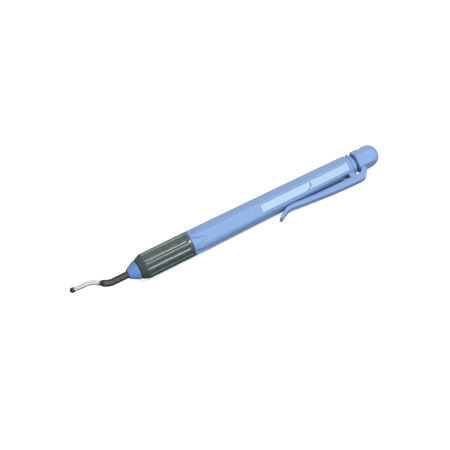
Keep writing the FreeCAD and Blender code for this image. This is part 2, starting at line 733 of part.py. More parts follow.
def cap_pin():
    """Cross pin that fastens the cap to the stem."""
    pin = doc.addObject("Part::Cylinder", "pin_blank")
    low = -d.cap_flats / 2 + d.pin_recess
    bind(pin, "Radius", d.pin_radius)
    bind(pin, "Height", d.stem_radius + d.pin_beyond_stem - low)
    angle = math.radians(CLIP_TURN)
    base = (cap_front + d.pin_place - origin_place, low * -math.sin(angle),
            low * math.cos(angle) + axis_height)
    pin.Placement = FreeCAD.Placement(
        FreeCAD.Vector(*(value.number for value in base)),
        FreeCAD.Rotation(FreeCAD.Vector(1, 0, 0), CLIP_TURN))
    for letter, value in zip("xyz", base):
        pin.setExpression(f"Placement.Base.{letter}", value.text)
    pin.Label = "cap_pin"
    sub_parts.append(pin)
    return pin


def clip_outline():
    """Side view of the clip and its foot: the outer edge towards the tip, then the inner edge back."""
    flat = flat_height(barrel_back)
    foot_back = barrel_back - d.end_gap
    foot_front = foot_back - d.foot_length
    foot_floor = flat - d.key_slot_depth + d.end_gap * 2
    root = d.cap_flats / 2 - CLIP_ROOT_DEPTH
    root_front, root_back = CLIP_ROOT_LENGTH

    def edge(*runs):
        """Points of the clip's edge in the sub-part's frame."""
        return [(cap_front + back, flat_height(cap_front + back) + up) for run in runs for back, up in run]

    return (
        [(cap_front + root_back, root)]
        + edge(CLIP_ROOT_BACK, CLIP_OUTSIDE, CLIP_TIP, CLIP_INSIDE)
        + [(foot_front, flat + CLIP_OVER_FOOT), (foot_front, foot_floor), (foot_back, foot_floor),
           (foot_back, flat + CLIP_OVER_FOOT)]
        + edge(CLIP_ROOT_FRONT)
        + [(cap_front + root_front, root)]
    )


def end_cap():
    """Six-sided push button with a rounded end, in one piece with the pocket clip and its foot."""
    body = new_body("end_cap")
    section = new_sketch(body, "cap_section", "YZ_Plane", cap_front)
    draw_outline(section, hexagon(d.cap_flats))
    button = body.newObject("PartDesign::Pad", "button")
    button.Profile = section
    bind(button, "Length", d.cap_length)
    doc.recompute()
    corner = d.cap_flats / math.sqrt(3)
    drop = corner - d.cap_dome_end_radius
    dome = cap_back - d.cap_dome_length
    quarter = math.pi / 2
    steps = [quarter * i / DOME_STEPS for i in range(DOME_STEPS + 1)]
    arc = [(dome + d.cap_dome_length * math.sin(a), corner - drop * (1 - math.cos(a))) for a in steps]
    revolve(body, "rounded_end", arc + [
        (cap_back + 1, d.cap_dome_end_radius), (cap_back + 1, 2 * corner), (dome, 2 * corner),
    ], cut=True)
    doc.recompute()
    revolve(body, "front_bevel", [
        (cap_front - 1, corner - d.cap_bevel - 1), (cap_front + d.cap_bevel, corner),
        (cap_front + d.cap_bevel, 2 * corner), (cap_front - 1, 2 * corner),
    ], cut=True)
    doc.recompute()
    hollow = body.newObject("PartDesign::SubtractiveCylinder", "thumb_hollow")
    out = corner - d.hollow_depth + d.hollow_radius
    turn = math.radians(BACK_TURN + FACET_STEP / 2 - CLIP_TURN)
    half = ROUGHLY_EVERYTHING / 2
    base = (cap_front + d.hollow_place, out * -math.sin(turn) + half * math.cos(turn),
            out * math.cos(turn) + half * math.sin(turn))
    bind(hollow, "Radius", d.hollow_radius)
    hollow.Height = ROUGHLY_EVERYTHING
    hollow.Placement = FreeCAD.Placement(
        FreeCAD.Vector(*(value.number for value in base)),
        FreeCAD.Rotation(FreeCAD.Vector(1, 0, 0), math.degrees(turn) + 90))
    for letter, value in zip("xyz", base):
        hollow.setExpression(f"Placement.Base.{letter}", value.text)
    doc.recompute()
    side = new_sketch(body, "clip_side")
    draw_outline(side, clip_outline())
    clip = body.newObject("PartDesign::Pad", "clip")
    clip.Profile = side
    bind(clip, "Length", d.clip_width)
    clip.Midplane = True
    doc.recompute()
    revolve(body, "stem_socket", ring_outline(
        cap_front - 1, stem_back + d.end_gap, 0, d.stem_radius + d.fitted_gap), cut=True)
    doc.recompute()
    hole = body.newObject("PartDesign::SubtractiveCylinder", "pin_hole_cap")
    cross_hole(hole, d.pin_beyond_stem + d.end_gap)
    return set_down(body, "end_cap", CLIP_TURN)


def blade_path():
    """Centreline of the cutting part, from inside the nose to the centre of the ball."""
    angle = math.radians(BEND_ANGLE)
    settle = math.radians(TIP_ANGLE)
    radius = d.blade_bend_radius.number
    start = -d.shank_straight.number
    rise = start - d.blade_rise.number
    first_end = (start - radius * math.sin(angle), radius * (1 - math.cos(angle)))
    second_start = (rise, first_end[1] + (first_end[0] - rise) * math.tan(angle))
    second_end = (
        second_start[0] - radius * (math.sin(angle) - math.sin(settle)),
        second_start[1] + radius * (math.cos(settle) - math.cos(angle)),
    )
    reach = -d.blade_reach.number
    tip = (reach, second_end[1] + (second_end[0] - reach) * math.tan(settle))
    half, mid = angle / 2, (angle + settle) / 2
    first_mid = (start - radius * math.sin(half), radius * (1 - math.cos(half)))
    second_mid = (
        second_start[0] - radius * (math.sin(angle) - math.sin(mid)),
        second_start[1] + radius * (math.cos(mid) - math.cos(angle)),
    )
    land = d.blade_shank_land.number
    shank_end = (first_end[0] - land * math.cos(angle), first_end[1] + land * math.sin(angle))
    return start, first_mid, first_end, shank_end, second_start, second_mid, second_end, tip


def blade():
    """Swivel blade: round shank, two bends, a ground cutting part and a ball at the tip."""
    start, first_mid, first_end, shank_end, second_start, second_mid, second_end, tip = blade_path()

    def point(pair):
        return FreeCAD.Vector(pair[0], 0, pair[1])

    front = FreeCAD.Vector(start, 0, 0)
    bend = Part.Arc(front, point(first_mid), point(first_end))
    return_bend = Part.Arc(point(second_start), point(second_mid), point(second_end))
    inside = FreeCAD.Vector(d.shank_inside.number, 0, 0)
    backwards = FreeCAD.Vector(-1, 0, 0)

    shank_line = Part.Wire([
        Part.makeLine(inside, front), bend.toShape(),
        Part.makeLine(point(first_end), point(shank_end)),
    ])
    shank_ring = Part.Wire(Part.makeCircle(d.shank_radius.number, inside, backwards))
    shank = shank_line.makePipeShell([shank_ring], True, True)
    cutting_line = Part.Wire([
        bend.toShape(), Part.makeLine(point(first_end), point(second_start)),
        return_bend.toShape(), Part.makeLine(point(second_end), point(tip)),
    ])
    cutting_ring = Part.Wire(Part.makeCircle(d.blade_radius.number, front, backwards))
    cutting = cutting_line.makePipeShell([cutting_ring], True, True)
    ball = Part.makeSphere(d.blade_ball_radius.number, point(tip))

    flat_box = Part.makeBox(
        d.blade_flat_length.number, ROUGHLY_EVERYTHING, ROUGHLY_EVERYTHING,
        FreeCAD.Vector(tip[0] + d.blade_ball_land.number,
                       -ROUGHLY_EVERYTHING - d.blade_flat_depth.number, -ROUGHLY_EVERYTHING / 2))
    body = shank.fuse(cutting).cut(flat_box).fuse(ball)
    groove = Part.makeTorus(
        ball_centre_radius.number, (d.retaining_ball_radius + d.running_gap).number,
        FreeCAD.Vector(d.groove_place.number, 0, 0), FreeCAD.Vector(1, 0, 0))
    feature = doc.addObject("Part::Feature", "blade")
    feature.Shape = body.cut(groove).removeSplitter()
    return set_down(feature, "blade", BLADE_TURN)


def build():
    """Make every sub-part."""
    blade()
    nose_cone()
    grip_ring()
    core_tube()
    grip_sleeve()
    barrel()
    label_panel()
    blade_bush()
    thrust_pad()
    bush_circlip()
    retaining_ball("ball_upper", 1)
    retaining_ball("ball_lower", -1)
    lock_sleeve()
    rod_nut()
    push_rod()
    rod_guide()
    spring_seat()
    return_spring()
    rod_collar()
    rear_bush()
    cap_stem()
    cap_pin()
    end_cap()
    doc.recompute()


def check():
    """Stop if any object failed or any sub-part isn't one good shape."""
    for thing in doc.Objects:
        if {"Invalid", "Error"} & set(thing.State):
            raise RuntimeError(f"{thing.Name} ({thing.Label}) failed: {thing.State}")
    for part in sub_parts:
        if part.Shape.isNull() or not part.Shape.isValid():
            raise RuntimeError(f"{part.Label} has no valid shape")
        if len(part.Shape.Solids) != 1:
            raise RuntimeError(f"{part.Label} has {len(part.Shape.Solids)} solids")


def write():
    """Write each sub-part to its own file."""
    os.makedirs("parts", exist_ok=True)
    for part in sub_parts:
        part.Shape.exportStep(f"parts/{part.Label}.step")
        print(f"{part.Label}: {part.Shape.Volume:.1f} mm3")


build()
check()
write()
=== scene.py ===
"""Looks of a pen-shaped deburring tool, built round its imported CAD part.

Lengths in the classes are millimetres.  A place is a distance along the tool behind the nose's front
face, a radius is a distance from the tool's axis, and a turn is an angle about the axis, counted from
straight up towards the viewer's side (-Y).
"""

import logging
import math
from dataclasses import dataclass, field
from enum import Enum
from typing import Any, Sequence, Union

import bmesh
import bpy
import numpy as np
from mathutils import Matrix, Vector

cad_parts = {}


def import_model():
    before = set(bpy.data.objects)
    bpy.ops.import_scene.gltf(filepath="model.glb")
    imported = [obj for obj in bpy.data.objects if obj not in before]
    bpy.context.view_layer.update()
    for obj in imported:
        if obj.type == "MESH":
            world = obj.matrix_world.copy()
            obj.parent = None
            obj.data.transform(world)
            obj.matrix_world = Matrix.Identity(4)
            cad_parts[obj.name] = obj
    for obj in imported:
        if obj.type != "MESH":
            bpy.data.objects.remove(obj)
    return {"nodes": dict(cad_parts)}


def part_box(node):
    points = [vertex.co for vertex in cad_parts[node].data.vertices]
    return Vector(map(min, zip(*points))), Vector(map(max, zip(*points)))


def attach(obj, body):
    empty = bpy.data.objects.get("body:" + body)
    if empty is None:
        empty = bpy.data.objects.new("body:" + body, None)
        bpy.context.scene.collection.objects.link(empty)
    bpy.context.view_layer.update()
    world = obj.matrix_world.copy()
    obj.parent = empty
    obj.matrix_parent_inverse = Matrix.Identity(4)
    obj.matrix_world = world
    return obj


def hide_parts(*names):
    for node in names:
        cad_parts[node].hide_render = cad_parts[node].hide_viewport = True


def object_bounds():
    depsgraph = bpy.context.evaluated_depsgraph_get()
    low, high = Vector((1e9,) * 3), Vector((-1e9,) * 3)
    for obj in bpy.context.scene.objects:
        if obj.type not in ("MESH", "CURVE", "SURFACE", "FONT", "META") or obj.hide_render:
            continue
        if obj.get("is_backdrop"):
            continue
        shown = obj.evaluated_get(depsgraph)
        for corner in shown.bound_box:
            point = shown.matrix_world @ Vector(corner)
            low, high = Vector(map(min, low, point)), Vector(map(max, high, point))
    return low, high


LOG = logging.getLogger("deburring_tool")
MM = 0.001
FACETS = 6
FACET = math.radians(60)
HALF_FACET = FACET / 2
FULL_TURN = 2 * math.pi
NO_LIMIT = 100.0          # a radius that nothing on the tool reaches
SAME_POINT = 2e-7         # points closer than this, in metres, become one
NEARLY_ALL = 0.9998       # share of a radius that still leaves a section open
CRISP = 24.0              # edges turned more than this many degrees stay sharp

Colour = tuple[float, float, float]
Point = tuple[float, float]
Corner = tuple[float, float, float]


class Turn(Enum):
    """Where things sit round the barrel, in radians."""

    LABEL = math.radians(60)
    CLIP = math.radians(120)
    THUMB = math.radians(-30)
    BACK = math.radians(-60)
    BLADE = math.radians(-39)


class Body(Enum):
    """Moving bodies of the CAD part."""

    HANDLE = "handle"
    BUTTON = "button"
    BLADE = "blade"


# ---------------------------------------------------------------- node graphs


class Wire:
    """An output socket that takes part in arithmetic."""

    def __init__(self, graph: "Graph", socket: bpy.types.NodeSocket) -> None:
        """Keep the graph and its socket."""
        self.graph = graph
        self.socket = socket

    def math(self, operation: str, *others: Union["Wire", float]) -> "Wire":
        """Add one Math node.

        Args:
            operation: the Math node's operation.
            others: the values after this one.

        Returns:
            The node's result.
        """
        values = {index: value for index, value in enumerate((self, *others))}
        return self.graph.node("ShaderNodeMath", {"operation": operation}, values)

    def __add__(self, other: Union["Wire", float]) -> "Wire":
        """Sum."""
        return self.math("ADD", other)

    __radd__ = __add__

    def __sub__(self, other: Union["Wire", float]) -> "Wire":
        """Difference."""
        return self.math("SUBTRACT", other)

    def __rsub__(self, other: float) -> "Wire":
        """A number minus this."""
        return (self * -1.0).math("ADD", other)

    def __mul__(self, other: Union["Wire", float]) -> "Wire":
        """Product."""
        return self.math("MULTIPLY", other)

    __rmul__ = __mul__

    def __truediv__(self, other: Union["Wire", float]) -> "Wire":
        """Quotient."""
        return self.math("DIVIDE", other)

    def __abs__(self) -> "Wire":
        """Size without sign."""
        return self.math("ABSOLUTE")

    def root(self) -> "Wire":
        """Square root, 0 for what is below 0."""
        return self.math("MAXIMUM", 0.0).math("SQRT")

    def step(self, low: float, high: float) -> "Wire":
        """Rise smoothly from 0 to 1.

        Args:
            low: value where the result is 0.
            high: value where the result is 1.

        Returns:
            The stepped value.
        """
        return self.graph.node(
            "ShaderNodeMapRange",
            {"interpolation_type": "SMOOTHSTEP"},
            {"Value": self, "From Min": low, "From Max": high},
        )


class Graph:
    """A node tree and the one method that adds nodes to it."""

    def __init__(self, tree: bpy.types.NodeTree) -> None:
        """Keep the tree."""
        self.tree = tree

    @staticmethod
    def find(sockets: Any, key: Union[str, int]) -> bpy.types.NodeSocket:
        """Pick a socket by number, identifier or name.

        Args:
            sockets: a node's inputs or outputs.
            key: which one.

        Returns:
            The socket.
        """
        if isinstance(key, int):
            return sockets[key]
        return next((s for s in sockets if s.identifier == key), None) or sockets[key]

    def node(
        self,
        kind: str,
        settings: dict[str, Any] | None = None,
        values: dict[Union[str, int], Any] | None = None,
        output: Union[str, int] = 0,
    ) -> Wire | None:
        """Add a node, set it, then fill its sockets.

        Args:
            kind: the node's type.
            settings: its properties; "stops" gives a ramp's (place, colour) pairs.
            values: a value or a Wire for each input socket.
            output: which output to return.

        Returns:
            The chosen output, or None where the node has none.
        """
        made = self.tree.nodes.new(kind)
        for name, value in (settings or {}).items():
            if name == "stops":
                while len(made.color_ramp.elements) < len(value):
                    made.color_ramp.elements.new(0.5)
                for element, (place, colour) in zip(made.color_ramp.elements, value):
                    element.position = place
                    element.color = (*colour, 1.0)
            else:
                setattr(made, name, value)
        for key, value in (values or {}).items():
            socket = self.find(made.inputs, key)
            if isinstance(value, Wire):
                self.tree.links.new(value.socket, socket)
            elif socket.type == "RGBA":
                socket.default_value = (*value, 1.0)
            else:
                socket.default_value = value
        return Wire(self, self.find(made.outputs, output)) if len(made.outputs) else None

    def mix(self, share: Union[Wire, float], first: Any, second: Any) -> Wire:
        """Mix two colours.

        Args:
            share: how much of the second.
            first: a colour or a Wire.
            second: a colour or a Wire.

        Returns:
            The mixed colour.
        """
        return self.node(
            "ShaderNodeMix",
            {"data_type": "RGBA"},
            {"Factor_Float": share, "A_Color": first, "B_Color": second},
            "Result_Color",
        )

    def noise(self, place: Wire, scale: float, detail: float = 2.0, roughness: float = 0.5) -> Wire:
        """Smooth noise about 0.5.

        Args:
            place: where it is read.
            scale: how many per unit of place.
            detail: octaves.
            roughness: strength of the finer octaves.

        Returns:
            The noise.
        """
        values = {"Vector": place, "Scale": scale, "Detail": detail, "Roughness": roughness}
        return self.node("ShaderNodeTexNoise", None, values)


# ---------------------------------------------------------------- finishes


class MillimetreCoordinates:
    """Where a surface point is, in millimetres, in the shared frame."""

    def __init__(self, graph: Graph, stretch: Colour = (1.0, 1.0, 1.0)) -> None:
        """Read the object's coordinates.

        Args:
            graph: the material's graph.
            stretch: how much finer the pattern is along X, Y and Z.
        """
        found = graph.node("ShaderNodeTexCoord", None, None, "Object")
        scale = tuple(value / MM for value in stretch)
        self.place = graph.node(
            "ShaderNodeMapping", {"vector_type": "POINT"}, {"Vector": found, "Scale": scale})
        apart = graph.node("ShaderNodeSeparateXYZ", None, {"Vector": self.place}, "X")
        self.x = apart
        self.y = Wire(graph, apart.socket.node.outputs["Y"])
        self.z = Wire(graph, apart.socket.node.outputs["Z"])


@dataclass(frozen=True)
class Finish:
    """A material of one kind; its subclasses fill in the surface."""

    name: str

    def surface(self, graph: Graph) -> dict[str, Any]:
        """Give the shader's sockets their values; a subclass replaces this."""
        raise NotImplementedError

    def make(self) -> bpy.types.Material:
        """Build the material, or return it if it is there already."""
        found = bpy.data.materials.get(self.name)
        if found is not None:
            return found
        material = bpy.data.materials.new(self.name)
        material.use_nodes = True
        material.node_tree.nodes.clear()
        graph = Graph(material.node_tree)
        shader = graph.node("ShaderNodeBsdfPrincipled", None, self.surface(graph))
        graph.node("ShaderNodeOutputMaterial", None, {"Surface": shader})
        return material

    @staticmethod
    def bump(graph: Graph, height: Wire, depth: float) -> Wire:
        """Bump for a height pattern of 0 to 1.

        Args:
            graph: the material's graph.
            height: the pattern.
            depth: how high 1 stands, in millimetres.

        Returns:
            The normal.
        """
        return graph.node(
            "ShaderNodeBump", None, {"Strength": 1.0, "Distance": depth * MM, "Height": height})


@dataclass(frozen=True)
class MouldedPlastic(Finish):
    """Injection-moulded plastic: a faint orange peel, slow shade drift and a few handling scuffs."""

    colour: Colour
    roughness: float = 0.34
    peel: float = 0.0016
    drift: float = 0.06

    def surface(self, graph: Graph) -> dict[str, Any]:
        """Values for the shader's sockets."""
        spot = MillimetreCoordinates(graph)
        drift = graph.noise(spot.place, 0.16, 3.0)
        paler = tuple(min(1.0, c * (1 + self.drift) + 0.01) for c in self.colour)
        deeper = tuple(c * (1 - self.drift) for c in self.colour)
        colour = graph.mix(drift, deeper, paler)
        fine = graph.noise(spot.place, 3.4, 2.0)
        streak = graph.noise(MillimetreCoordinates(graph, (0.25, 3.0, 3.0)).place, 1.0, 4.0, 0.6)
        scuff = streak.step(0.62, 0.78)
        return {
            "Base Color": colour,
            "Roughness": self.roughness + fine * 0.06 + scuff * 0.10,
            "Normal": self.bump(graph, fine + streak * 0.4, self.peel),
            "IOR": 1.5,
            "Specular IOR Level": 0.35,
        }


@dataclass(frozen=True)
class LabelFilm(Finish):
    """Glossy strip of two fields that meet at a bent line; the front field is a step paler as painted
    reflection, and a dark rim painted round its edges is painted shadow of the gap in the recess.
    """

    front_colour_with_painted_sheen: Colour
    rear_colour: Colour
    line_and_rim_shade_colour: Colour
    line_place: float
    axis_height: float
    front: float
    back: float
    half_width: float = 1.95
    line_width: float = 0.24
    line_top: float = 1.35
    line_foot: float = -1.75
    line_slope: float = 1.6
    line_drop: float = 0.5
    rim_shade_width: float = 0.34

    def surface(self, graph: Graph) -> dict[str, Any]:
        """Values for the shader's sockets."""
        spot = MillimetreCoordinates(graph)
        sine, cosine = math.sin(Turn.LABEL.value), math.cos(Turn.LABEL.value)
        rise = spot.z * sine + spot.y * cosine - self.axis_height * sine
        lean = (rise * -self.line_slope - self.line_drop).math("MAXIMUM", 0.0)
        away = spot.x + lean - self.line_place
        short = rise.step(self.line_top, self.line_top - 0.25)
        short = short * rise.step(self.line_foot, self.line_foot + 0.2)
        line = (1.0 - abs(away).step(self.line_width, self.line_width * 1.6)) * short
        # edge and end mark a dark rim round the strip: painted shadow of the gap in the recess.
        edge = abs(rise).step(self.half_width - self.rim_shade_width, self.half_width - self.rim_shade_width * 0.6)
        middle, half = (self.front + self.back) / 2, (self.back - self.front) / 2
        end = abs(spot.x - middle).step(half - self.rim_shade_width, half - self.rim_shade_width * 0.6)
        drift = graph.noise(spot.place, 0.3, 2.0)
        # The front field is the film's tone plus painted reflection, so it is paler than the rear field.
        fields_with_painted_sheen = graph.mix(away.step(-0.3, 0.3), self.front_colour_with_painted_sheen, self.rear_colour)
        paler = tuple(min(1.0, c * 1.06) for c in self.front_colour_with_painted_sheen)
        plain = graph.mix(drift * 0.4, fields_with_painted_sheen, paler)
        # The bent line's ink, together with the painted rim shadow.
        ink_and_rim_shade = (line * 0.9).math("MAXIMUM", edge.math("MAXIMUM", end) * 0.75)
        fine = graph.noise(spot.place, 1.7, 2.0)
        return {
            "Base Color": graph.mix(ink_and_rim_shade, plain, self.line_and_rim_shade_colour),
            "Roughness": 0.2 + fine * 0.06,
            "Normal": self.bump(graph, fine - line * 3.0, 0.0012),
            "Coat Weight": 0.25,
            "Coat Roughness": 0.12,
        }


@dataclass(frozen=True)
class Rubber(Finish):
    """Dark soft grip: fine matt grain, and cloudy paler patches kept to the lands, so that the flutes
    stay darker as painted shade.
    """

    colour: Colour
    paler_land_colour: Colour
    land_radius: float
    axis_height: float

    def surface(self, graph: Graph) -> dict[str, Any]:
        """Values for the shader's sockets."""
        spot = MillimetreCoordinates(graph)
        up = spot.z - self.axis_height
        radius = (spot.y * spot.y + up * up).root()
        land = radius.step(self.land_radius - 0.35, self.land_radius)
        grain = graph.noise(spot.place, 9.0, 3.0, 0.6)
        cloud = graph.noise(spot.place, 0.5, 3.0)
        # Paler patches only on the lands, which paints shade into the flutes.
        paler_lands_shaded_flutes = land * cloud.step(0.35, 0.75)
        return {
            "Base Color": graph.mix(paler_lands_shaded_flutes * 0.6 + grain * 0.15, self.colour, self.paler_land_colour),
            "Roughness": 0.19 + grain * 0.10 + paler_lands_shaded_flutes * 0.05,
            "Normal": self.bump(graph, grain, 0.0015),
            "Specular IOR Level": 0.8,
        }


@dataclass(frozen=True)
class TurnedMetal(Finish):
    """Metal with the rings that a lathe leaves round the X axis."""

    colour: Colour
    roughness: float = 0.28
    pitch: float = 7.0

    def surface(self, graph: Graph) -> dict[str, Any]:
        """Values for the shader's sockets."""
        rings = graph.noise(MillimetreCoordinates(graph, (1.0, 0.02, 0.02)).place, self.pitch, 2.0)
        stain = graph.noise(MillimetreCoordinates(graph).place, 0.6, 3.0)
        darker = tuple(c * 0.8 for c in self.colour)
        return {
            "Base Color": graph.mix(stain, darker, self.colour),
            "Metallic": 1.0,
            "Roughness": self.roughness + rings * 0.12 + stain * 0.08,
            "Normal": self.bump(graph, rings, 0.004),
        }


@dataclass(frozen=True)
class GroundSteel(Finish):
    """Bare ground steel with fine wheel marks across the blade."""

    colour: Colour

    def surface(self, graph: Graph) -> dict[str, Any]:
        """Values for the shader's sockets."""
        marks = graph.noise(MillimetreCoordinates(graph, (1.0, 0.06, 0.06)).place, 12.0, 2.0, 0.6)
        haze = graph.noise(MillimetreCoordinates(graph).place, 1.1, 3.0)
        darker = tuple(c * 0.86 for c in self.colour)
        return {
            "Base Color": graph.mix(marks, darker, self.colour),
            "Metallic": 0.75,
            "Roughness": 0.34 + marks * 0.14 + haze * 0.08,
            "Normal": self.bump(graph, marks, 0.003),
        }


@dataclass(frozen=True)
class BlackOxide(Finish):
    """Black-oxide steel, with brown-grey rubbed patches and a fine satin tooth."""

    colour: Colour
    rubbed: Colour

    def surface(self, graph: Graph) -> dict[str, Any]:
        """Values for the shader's sockets."""
        spot = MillimetreCoordinates(graph)
        tooth = graph.noise(spot.place, 8.0, 3.0, 0.6)
        worn = graph.noise(spot.place, 0.7, 4.0, 0.6).step(0.48, 0.72)
        return {
            "Base Color": graph.mix(worn * 0.5 + tooth * 0.1, self.colour, self.rubbed),
            "Metallic": 0.35,
            "Roughness": 0.38 + tooth * 0.14 - worn * 0.06,
            "Normal": self.bump(graph, tooth, 0.005),
        }


@dataclass(frozen=True)
class PaleFloor(Finish):
    """Plain studio floor, lit from inside as well so that shadows on it stay faint."""

    colour: Colour
    glow: float

    def surface(self, graph: Graph) -> dict[str, Any]:
        """Values for the shader's sockets."""
        return {
            "Base Color": self.colour, "Roughness": 0.9, "Emission Color": self.colour,
            "Emission Strength": self.glow,
        }


@dataclass(frozen=True)
class Palette:
    """Every finish of the tool."""

    barrel: MouldedPlastic
    nose: MouldedPlastic
    label: LabelFilm
    grip: Rubber
    dark_plastic: MouldedPlastic
    oxide: BlackOxide
    ground: GroundSteel
    steel: TurnedMetal
    spring: TurnedMetal
    brass: TurnedMetal


# ---------------------------------------------------------------- mesh tools


@dataclass(frozen=True)
class Axis:
    """The tool's axis in the shared frame."""

    nose: float
    height: float

    def at(self, place: Any, radius: Any, turn: Any) -> np.ndarray:
        """Points given round the axis.

        Args:
            place: distances behind the nose's front face.
            radius: distances from the axis.
            turn: angles about the axis.

        Returns:
            The points in metres, one row each.
        """
        place, radius, turn = np.broadcast_arrays(place, radius, turn)
        return MM * np.stack(
            (self.nose + place, -radius * np.sin(turn), self.height + radius * np.cos(turn)), -1)

    def beside(self, place: Any, across: Any, out: Any, turn: float) -> np.ndarray:
        """Points given in the plane frame of one side of the tool.

        Args:
            place: distances behind the nose's front face.
            across: distances sideways from the side's middle, towards a growing turn.
            out: distances from the axis, square to the side.
            turn: the side's turn.

        Returns:
            The points in metres, one row each.
        """
        place, across, out = np.broadcast_arrays(place, across, out)
        side = -out * math.sin(turn) - across * math.cos(turn)
        up = out * math.cos(turn) - across * math.sin(turn)
        return MM * np.stack((self.nose + place, side, self.height + up), -1)


@dataclass
class Shell:
    """Closed surface made of rows of points, each row a ring."""

    name: str
    parts: list[tuple[np.ndarray, bool]] = field(default_factory=list)
    marks: list[np.ndarray | None] = field(default_factory=list)
    sharp: float = 32.0

    def add(self, rows: np.ndarray, wrapped: bool, marks: np.ndarray | None = None) -> "Shell":
        """Add one closed surface.

        Args:
            rows: points as (row, column, xyz).
            wrapped: whether the last row joins the first; otherwise each end row is one point.
            marks: a material slot for each quad, as (row, column).

        Returns:
            The shell itself.
        """
        self.parts.append((rows, wrapped))
        self.marks.append(marks)
        return self

    def make(self, *finishes: Finish) -> bpy.types.Object:
        """Make the object.

        Args:
            finishes: the finishes in slot order.

        Returns:
            The object, linked to the scene.
        """
        mesh = bpy.data.meshes.new(self.name)
        grown = bmesh.new()
        for (rows, wrapped), marks in zip(self.parts, self.marks):
            count, width = rows.shape[:2]
            corners = [grown.verts.new(p) for p in rows.reshape(-1, 3)]
            for i in range(count if wrapped else count - 1):
                for j in range(width):
                    following, beside = (i + 1) % count, (j + 1) % width
                    face = grown.faces.new((
                        corners[i * width + j], corners[i * width + beside],
                        corners[following * width + beside], corners[following * width + j]))
                    face.smooth = True
                    if marks is not None:
                        face.material_index = int(marks[i, j])
        bmesh.ops.remove_doubles(grown, verts=grown.verts, dist=SAME_POINT)
        bmesh.ops.recalc_face_normals(grown, faces=grown.faces)
        grown.to_mesh(mesh)
        grown.free()
        mesh.set_sharp_from_angle(angle=math.radians(self.sharp))
        for finish in finishes:
            mesh.materials.append(finish.make())
        return placed(self.name, mesh)


def placed(name: str, mesh: bpy.types.Mesh) -> bpy.types.Object:
    """Put a finished mesh into the scene.

    Args:
        name: the new object's name.
        mesh: the mesh.

    Returns:
        The new object.
    """
    made = bpy.data.objects.new(name, mesh)
    bpy.context.scene.collection.objects.link(made)
    LOG.info("%s: %d faces", name, len(mesh.polygons))
    return made


def applied(blank: bpy.types.Object, name: str, sharp: float) -> bpy.types.Object:
    """Keep what an object's modifiers make of it as a plain mesh.

    Args:
        blank: the object with its modifiers; it is removed.
        name: the new object's name.
        sharp: edges turned more than this many degrees stay sharp.

    Returns:
        The new object.
    """
    bpy.context.view_layer.update()
    evaluated = blank.evaluated_get(bpy.context.evaluated_depsgraph_get())
    mesh = bpy.data.meshes.new_from_object(evaluated)
    blank.modifiers.clear()
    bpy.data.objects.remove(blank)
    mesh.name = name
    mesh.polygons.foreach_set("use_smooth", [True] * len(mesh.polygons))
    mesh.set_sharp_from_angle(angle=math.radians(sharp))
    return placed(name, mesh)


def softened(corners: Sequence[Corner], closed: bool = True, steps: int = 4) -> list[Point]:
    """Round the corners of an outline.

    Args:
        corners: (place, height, length of edge that the rounding takes).
        closed: whether the last corner joins the first.
        steps: pieces of each rounding.

    Returns:
        The outline's points.
    """
    found: list[Point] = []
    count = len(corners)
    for i, (place, height, rounding) in enumerate(corners):
        here = Vector((place, height))
        if rounding == 0 or (not closed and i in (0, count - 1)):
            found.append((place, height))
            continue
        ends = []
        for other in (corners[i - 1], corners[(i + 1) % count]):
            edge = Vector(other[:2]) - here
            ends.append(here + edge.normalized() * min(rounding, edge.length * 0.48))
        for k in range(steps + 1):
            share = k / steps
            spot = ends[0].lerp(here, share).lerp(here.lerp(ends[1], share), share)
            found.append((spot.x, spot.y))
    return found


def through(points: Sequence[Sequence[float]], pieces: int) -> np.ndarray:
    """Pass a smooth line through points.

    Args:
        points: the points, of any number of coordinates.
        pieces: pieces between each two points.

    Returns:
        The line's points, one row each.
    """
    known = np.array(points, float)
    known = np.vstack((2 * known[0] - known[1], known, 2 * known[-1] - known[-2]))
    found = []
    for a, b, c, e in zip(known, known[1:], known[2:], known[3:]):
        for k in range(pieces):
            t = k / pieces
            square, cube = 2 * a - 5 * b + 4 * c - e, 3 * b - a - 3 * c + e
            found.append(0.5 * (2 * b + (c - a) * t + square * t**2 + cube * t**3))
    return np.vstack((*found, known[-2]))


def turned_rows(axis: Axis, outline: Sequence[Point], columns: int = 96) -> np.ndarray:
    """Turn an outline about the axis.

    Args:
        axis: the tool's axis.
        outline: (place, radius) points.
        columns: points round the axis.

    Returns:
        The rows of points.
    """
    turns = np.arange(columns) * FULL_TURN / columns
    return np.stack([axis.at(place, radius, turns) for place, radius in outline])


